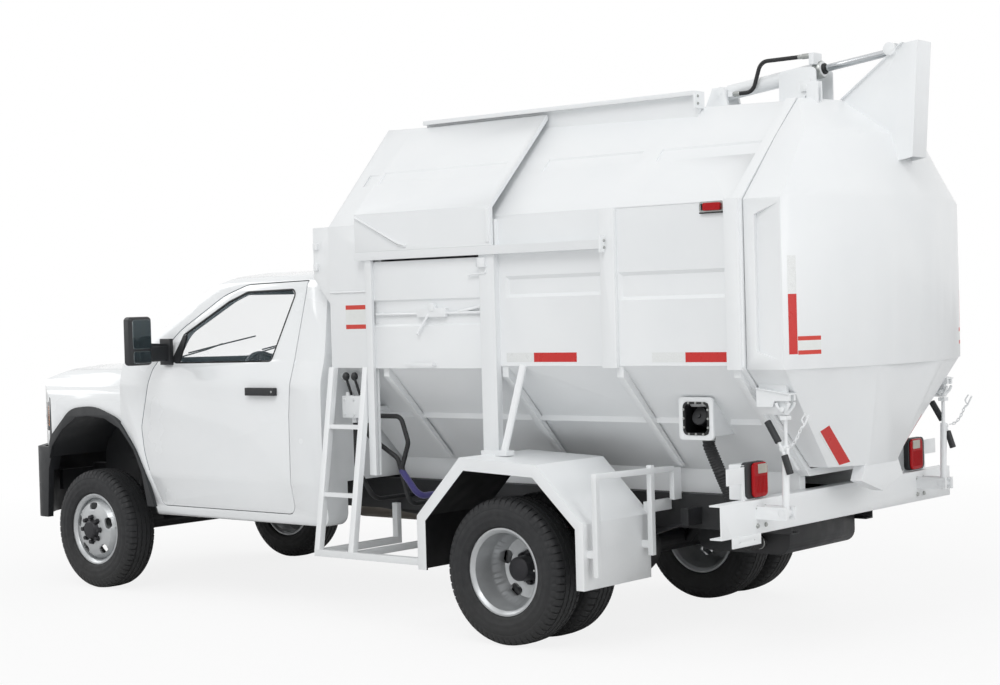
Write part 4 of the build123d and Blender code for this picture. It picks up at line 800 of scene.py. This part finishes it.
# valve: levers with knobs, port nuts, caps and bolts, and the sleeve over the hose
valveLook = {
    "levers": (1390, 1320), "rod": 8.2, "knob": 22,
    "ports": [((1380, 895, 1206), (1380, 895, 1168)), ((1300, 880, 1206), (1300, 880, 1168)),
              ((1266, 890, 1212), (1226, 890, 1212))],
    "portRadius": 21, "capX": (1275, 1430), "capRadius": 17,
    "boltX": (1278, 1355, 1432), "boltZ": (1220, 1308),
    "sleeve": [(1020, 885, 895), (900, 870, 745), (900, 640, 745)], "sleeveBend": 55, "sleeveRadius": 19,
}
knobs = []
for x in valveLook["levers"]:
    turn, size = np.linspace(0, np.pi, 15), valveLook["knob"]
    ball = np.stack([np.maximum(np.sin(turn), 0.001) * size, -np.cos(turn) * size * 1.15], 1)
    knobs.append(latheShape(ball, (x + 12, 940, 1448), 28, 2))
    knobs.append(sleeveShape((x + 1, 908, 1334), (x + 12, 938, 1436), valveLook["rod"]))
makePiece("valveLevers", knobs, "grained black plastic")
ports = [sleeveShape(a, b, valveLook["portRadius"], 6) for a, b in valveLook["ports"]]
ports += [sleeveShape((x, 895, 1326), (x, 895, 1352), valveLook["capRadius"], 6) for x in valveLook["capX"]]
ports += [boltShape((x, 930, z), 1, 9, 7) for x in valveLook["boltX"] for z in valveLook["boltZ"]]
makePiece("valvePorts", ports, "sprayed white enamel", bevel=0.8)
sleeve = bentLine(valveLook["sleeve"], valveLook["sleeveBend"], 6)
makePiece("hoseSleeve", [tubeShape(sleeve, valveLook["sleeveRadius"], 18)], "nylon sleeve")

# latches: black grips, the bracket and yoke on the tailgate, and the keeper's chain and pin
latchLook = {
    "grips": [((-1497, 880, 1229), (-1561, 880, 1124), 18), ((-1592, 880, 1062), (-1624, 880, 968), 18)],
    "cheek": [(-1437, 1392), (-1628, 1362), (-1628, 1332), (-1540, 1330), (-1530, 1300), (-1437, 1300)],
    "top": [(-1437, 1398), (-1632, 1368), (-1632, 1361), (-1437, 1391)],
    "yoke": [[(-1548, 1322), (-1556, 1300), (-1582, 1266)], [(-1624, 1322), (-1614, 1300), (-1588, 1266)]],
    "yokeY": (826, 874), "middleY": 850,
    "pin": [([(-1702, 888, 1200), (-1716, 888, 1214), (-1742, 888, 1262)], 5),
            ([(-1716, 888, 1212), (-1700, 888, 1240), (-1722, 888, 1270)], 4)],
}
linkLook = {"path": [(-1606, 884, 1100), (-1640, 888, 1112), (-1672, 889, 1150), (-1700, 888, 1206)],
            "long": 11, "wide": 6.5, "wire": 2.4}


def chainShape(look):
    # links along the path, each a stretched ring turned a quarter from the last
    path = smoothLine(look["path"], 200)
    length = np.concatenate([[0], np.cumsum(np.linalg.norm(np.diff(path, axis=0), axis=1))])
    count = int(length[-1] / (look["long"] * 1.45))
    shapes = []
    turn = np.linspace(0, 2 * np.pi, 16, endpoint=False)
    for k in range(count):
        at = (k + 0.5) / count * length[-1]
        centre = np.array([np.interp(at, length, path[:, n]) for n in range(3)])
        ahead = np.array([np.interp(at + 2, length, path[:, n]) for n in range(3)]) - centre
        ahead /= np.linalg.norm(ahead)
        side = np.cross(ahead, (0, 1, 0))
        side = side / np.linalg.norm(side) if k % 2 else np.array([0, 1.0, 0])
        along, across = np.cos(turn)[:, None] * look["long"], np.sin(turn)[:, None] * look["wide"]
        ring = centre + ahead * along + side * across
        shapes.append(tubeShape(ring, look["wire"], 8, closed=True))
    return shapes


grips = [sleeveShape(*grip) for grip in latchLook["grips"]]
chain = chainShape(linkLook) + [tubeShape(bentLine(line, 8, 3), radius, 12) for line,
                                radius in latchLook["pin"]]
bracket = [prismShape(latchLook["cheek"], y, y + 18) for y in (818, 864)]
bracket.append(prismShape(latchLook["top"], 812, 888))
for y in latchLook["yokeY"]:
    for (topX, topZ), (bendX, bendZ), (endX, endZ) in latchLook["yoke"]:
        line = [(topX, y, topZ), (bendX, y, bendZ), (endX, (y + latchLook["middleY"]) / 2, endZ)]
        bracket.append(tubeShape(smoothLine(line, 14), 8, 12))
makePiece("latchBracket", bothSides(bracket), "sprayed white enamel", "tailgate", bevel=1.5)
for side in ("left", "right"):
    node = "latch_" + side
    makePiece(node + "Grips", onSide(side, grips), "grained black plastic", bodyOf[node])
    makePiece(node + "Chain", onSide(side, chain), "sprayed white enamel", bodyOf[node], slotOf[node])
print("valve and latches dressed")

# small things on the body: bolt heads, hook rod, recess rod and spring
fittingLook = {
    # places of the bolt heads, their radius and their height along x
    "bolts": [([(-582, 985, z) for z in (2138, 2174)], 7, -6),
              ([(-852, 470, z) for z in (2905, 2945)], 7, -6),
              ([(-1430, y, z) for y in (812, 888) for z in (700, 790)], 11, -8)],
    "hook": [(241, 991, 2050), (236, 992, 2030), (367, 992, 2023), (372, 992, 2012)],
    "recess": [(1198, 958, 1951), (1300, 958, 1951), (1500, 958, 1951)],
    "rod": 5, "spring": (2066, 2112), "springAt": (290, 1000, 0),
}
small = [boltShape(s, 0, radius, height) for spots, radius, height in fittingLook["bolts"] for s in spots]
makePiece("bodyBolts", bothSides(small), "zinc plate", bevel=0.6)
hook = tubeShape(bentLine(fittingLook["hook"], 5, 3), fittingLook["rod"], 12)
recess = tubeShape(fittingLook["recess"], fittingLook["rod"], 12)
coil = np.stack([9 + 2.2 * np.cos(np.arange(60) * np.pi / 3), np.linspace(*fittingLook["spring"], 60)], 1)
spring = latheShape(coil, fittingLook["springAt"], 20, 2)
makePiece("bodyRods", bothSides([hook, recess, spring]), "sprayed white enamel")

# a folded 32 mm angle welded along each lower slope, under the ribs; the slope's y is its z less 560
angleLook = {"z": (1190, 1222), "runs": [(-1392, -1135), (-900, 1430)]}
low, high = angleLook["z"]
section = [(high - 560, high), (high - 560, low), (low - 560, low), (low - 553, high - 12)]
angles = [prismShape(section, x0, x1, "x") for x0, x1 in angleLook["runs"]]
makePiece("slopeAngles", bothSides(angles), "sprayed white enamel", bevel=2)

beadLook = {"y": 951, "along": [(-1326, -642, 1512), (-1326, -642, 2344), (-543, 176, 1512)],
            "up": (-643, -543, -1326), "z": (1520, 2335), "radius": 3.2}


def beadShape(start, end):
    # a weld bead: the radius ripples every 5 mm
    start, end = np.asarray(start, float), np.asarray(end, float)
    count = max(int(np.linalg.norm(end - start) / 1.7), 4)
    at = np.linspace(0, 1, count)[:, None]
    ripple = 1 + 0.16 * np.sin(np.arange(count) * 2 * np.pi / 3)
    return tubeShape(start + (end - start) * at, beadLook["radius"] * ripple, 6)


beads = [beadShape((x0, beadLook["y"], z), (x1, beadLook["y"], z)) for x0, x1, z in beadLook["along"]]
low, high = beadLook["z"]
beads += [beadShape((x, beadLook["y"], low), (x, beadLook["y"], high)) for x in beadLook["up"]]
makePiece("weldBeads", bothSides(beads), "sprayed white enamel")
print("body fittings made")

# doors and mirrors: window seals, sail plates, mirror glasses and arms, lock barrels
doorLook = {
    "window": [(2040, 1540), (2985, 1530), (2895, 1712), (2495, 1918), (2330, 1975), (1880, 1982)],
    "sail": [(2992, 1536), (2905, 1536), (2898, 1560), (2868, 1700), (2895, 1712)],
    "seal": 7, "sealInset": 4, "corner": 34,
    "lock": [(0.01, 1022), (6.5, 1021.5), (7.5, 1020), (7.5, 1012)], "lockAt": (1976, 0, 1354),
    "arm": (968, 1122, 1545, 1646, 26), "armX": (2984, 3036),
    "glasses": [(1126, 1274, 1632, 1818, 16), (1130, 1270, 1540, 1616, 14)], "glassX": (2972, 2976),
}


def skinY(z):
    # the door's outer face above the belt leans in by 106 mm over 517 mm of height
    return 952 - (np.asarray(z, float) - 1545) * 0.205


def sealShape(outline, radius, inset):
    # a round seal along the outline, which runs on past its start so that its ends meet
    line = bentLine([(x, 0, z) for x, z in outline + outline[:2]], doorLook["corner"], 10)[8:-8]
    line[:, 1] = skinY(line[:, 2]) - inset
    return tubeShape(line, radius, 10)


sail = [np.array([(x, skinY(z) + lift, z) for x, z in doorLook["sail"]]) for lift in (3, -10)]
sailShape = gridShape(np.stack(sail), closeV=True)
sailShape[1].extend([[0, 1, 2, 3, 4], [9, 8, 7, 6, 5]])
seal = [sealShape(doorLook["window"], doorLook["seal"], doorLook["sealInset"]), sailShape]
arm = [prismShape(roundedBox(*doorLook["arm"]), *doorLook["armX"], "x")]
glass = [prismShape(roundedBox(*outline), *doorLook["glassX"], "x") for outline in doorLook["glasses"]]
lock = [latheShape(doorLook["lock"], doorLook["lockAt"], 20, 1)]
for side in ("left", "right"):
    door, mirror = "door_" + side, "mirror_" + side
    makePiece(door + "Seal", onSide(side, seal), "grained black plastic", bodyOf[door])
    makePiece(mirror + "Glass", onSide(side, glass), "silvered glass", bodyOf[mirror], bevel=1)
    makePiece(mirror + "Arm", onSide(side, arm), "grained black plastic", bodyOf[mirror], bevel=12,
              segments=3)
    makePiece(door + "Lock", onSide(side, lock), "zinc plate", bodyOf[door])

# wipers: an arm over a blade on each half of the windscreen
wiperLook = {"ends": ((620, 60), (-80, -620)), "radius": 5}


def screenPoint(x, y, lift):
    # a place over the windscreen, whose plane rises 481 mm while it runs back 792 mm
    return np.array([x + lift * 0.519, y, 1506 + (3470 - x) * 481 / 792 + lift * 0.855])


wipers = []
for y0, y1 in wiperLook["ends"]:
    arm = [screenPoint(3440, y0, 6), screenPoint(3340, (y0 + y1) / 2, 16), screenPoint(3270, y1 + 190, 12)]
    blade = [screenPoint(3355, y1 + 430, 7), screenPoint(3270, y1 + 190, 8), screenPoint(3190, y1 - 40, 7)]
    wipers += [tubeShape(line, wiperLook["radius"], 10) for line in (arm, blade)]
makePiece("wipers", wipers, "grained black plastic")
print("cab dressed")

# seat: three cushions and three backs on a base
seatLook = {"y": [(-698, -236), (-228, 228), (236, 698)], "cushion": (1735, 2298, 988, 1150),
            "back": (1650, 1780, 1060, 1698), "base": (1700, 2200, -650, 650, 840, 992),
            "power": 0.32, "lean": -0.045, "leanFrom": 1690, "fill": 0.9}


def cushionShape(low, high, countU=28, countV=36):
    # a crowned box: the sign of each sine or cosine times its size to a power below one
    low, high = np.asarray(low, float), np.asarray(high, float)
    u = np.linspace(-np.pi / 2, np.pi / 2, countU)[:, None]
    v = np.linspace(0, 2 * np.pi, countV, endpoint=False)[None, :]

    def soft(w):
        return np.sign(w) * np.abs(w) ** seatLook["power"]

    wide = soft(np.cos(u))
    shape = np.stack([wide * soft(np.cos(v)), wide * soft(np.sin(v)), soft(np.sin(u)) + 0 * v], -1)
    return gridShape((low + high) / 2 + shape * (high - low) / 2, closeV=True)


def leaned(shape, z, lean):
    # a back leans away with height: x moves by lean for each mm above z
    verts = shape[0].copy()
    verts[:, 0] += (verts[:, 2] - z) * lean
    return verts, shape[1]


padded = {}
for part in ("cushion", "back"):
    x0, x1, z0, z1 = seatLook[part]
    padded[part] = [cushionShape((x0, y0, z0), (x1, y1, z1)) for y0, y1 in seatLook["y"]]
padded["back"] = [leaned(s, seatLook["leanFrom"], seatLook["lean"]) for s in padded["back"]]
for name, part in (("seatCushions", "cushion"), ("seatBacks", "back")):
    piece = makePiece(name, padded[part], "seat cloth", stands=("seat",), subdiv=1)
makePiece("seatBase", [blockShape(*seatLook["base"])], "grained black plastic", bevel=12, segments=3,
          stands=("seat",))
print("seats made")

# floor, light and camera
# three sizes in metres, then the levels of the floor's glow and of the light all round
stageSizes = {"floor": 60.0, "near": 3.5, "far": 9.0, "floorGlow": 0.85, "ambient": 0.66}


def stageMaterial():
    # to the camera the floor keeps some of its shadow near the truck and fades to white further off
    made = bpy.data.materials.new("studio floor")
    made.use_nodes = True
    tree = made.node_tree
    tree.nodes.clear()
    seen = addNode(tree, "ShaderNodeLightPath").outputs["Is Camera Ray"]
    where = addNode(tree, "ShaderNodeTexCoord").outputs["Object"]
    away = addNode(tree, "ShaderNodeVectorMath", {"operation": "LENGTH"}, {0: where}).outputs["Value"]
    fade = {1: stageSizes["near"], 2: stageSizes["far"], 3: stageSizes["floorGlow"], 4: 1.0}
    glow = addNode(tree, "ShaderNodeMapRange", fade, {0: away})
    matt = addNode(tree, "ShaderNodeBsdfDiffuse", {"Color": linear("#e8e8e8")})
    white = addNode(tree, "ShaderNodeEmission", {"Color": (1, 1, 1, 1), "Strength": 1.0})
    share = addNode(tree, "ShaderNodeMath", {"operation": "MULTIPLY"}, {0: seen, 1: glow.outputs[0]})
    both = addNode(tree, "ShaderNodeMixShader", None,
                   {0: share.outputs[0], 1: matt.outputs[0], 2: white.outputs[0]})
    addNode(tree, "ShaderNodeOutputMaterial", None, {"Surface": both.outputs[0]})
    return made


half = stageSizes["floor"]
floorMesh = bpy.data.meshes.new("floor")
corners = [(-half, -half, 0), (half, -half, 0), (half, half, 0), (-half, half, 0)]
floorMesh.from_pydata(corners, [], [[0, 1, 2, 3]])
floorMesh.materials.append(stageMaterial())
floor = bpy.data.objects.new("floor", floorMesh)
bpy.context.scene.collection.objects.link(floor)

world = bpy.data.worlds.new("studio")
bpy.context.scene.world = world
world.use_nodes = True
tree = world.node_tree
tree.nodes.clear()
rays = addNode(tree, "ShaderNodeLightPath")
seen = addNode(tree, "ShaderNodeMath", {"operation": "MAXIMUM"},
               {0: rays.outputs["Is Camera Ray"], 1: rays.outputs["Is Transmission Ray"]})
seen = addNode(tree, "ShaderNodeMath", {"operation": "MAXIMUM"},
               {0: seen.outputs[0], 1: rays.outputs["Is Glossy Ray"]})
level = addNode(tree, "ShaderNodeMapRange", {1: 0.0, 2: 1.0, 3: stageSizes["ambient"], 4: 1.0},
                {0: seen.outputs[0]})
air = addNode(tree, "ShaderNodeBackground", {"Color": (1, 1, 1, 1)}, {"Strength": level.outputs[0]})
addNode(tree, "ShaderNodeOutputWorld", None, {"Surface": air.outputs[0]})

lamps = {   # place, aim, side in metres and power in watts
    "key": ((-5.0, 10.0, 12.0), (0.0, 0.0, 1.4), 7.0, 590),
    "tail": ((-14.0, 2.5, 5.0), (-2.0, 0.5, 1.3), 5.0, 240),
    "front": ((11.0, 4.0, 8.0), (1.5, 0.0, 1.2), 6.0, 250),
}
for name, (spot, aim, side, power) in lamps.items():
    light = bpy.data.lights.new(name, "AREA")
    light.shape, light.size, light.energy = "SQUARE", side, power
    holder = bpy.data.objects.new(name, light)
    holder.location = spot
    holder.rotation_euler = (Vector(aim) - Vector(spot)).to_track_quat("-Z", "Y").to_euler()
    bpy.context.scene.collection.objects.link(holder)

# the camera: its place in mm from the rear axle, its angles in radians and its focal length in picture widths
lens = {"place": (-6532.9, 8909.7, 1841.1), "yaw": -0.87003, "pitch": -0.01922, "roll": -0.02741,
        "focal": 1.8741}
cosYaw, sinYaw = np.cos(lens["yaw"]), np.sin(lens["yaw"])
cosPitch, sinPitch = np.cos(lens["pitch"]), np.sin(lens["pitch"])
forward = np.array([cosPitch * cosYaw, cosPitch * sinYaw, sinPitch])
right = np.cross(forward, [0, 0, 1])
right /= np.linalg.norm(right)
above = np.cross(right, forward)
cosRoll, sinRoll = np.cos(lens["roll"]), np.sin(lens["roll"])
right, above = cosRoll * right + sinRoll * above, cosRoll * above - sinRoll * right
camera = bpy.data.objects.new("camera", bpy.data.cameras.new("camera"))
camera.data.sensor_width = 36
camera.data.lens = camera.data.sensor_width * lens["focal"]
turned = Matrix((right, above, -forward)).transposed().to_4x4()
camera.matrix_world = Matrix.Translation(Vector(place(lens["place"]))) @ turned
bpy.context.scene.collection.objects.link(camera)
bpy.context.scene.camera = camera
bpy.context.scene.view_settings.view_transform = "Standard"
print("stage ready")
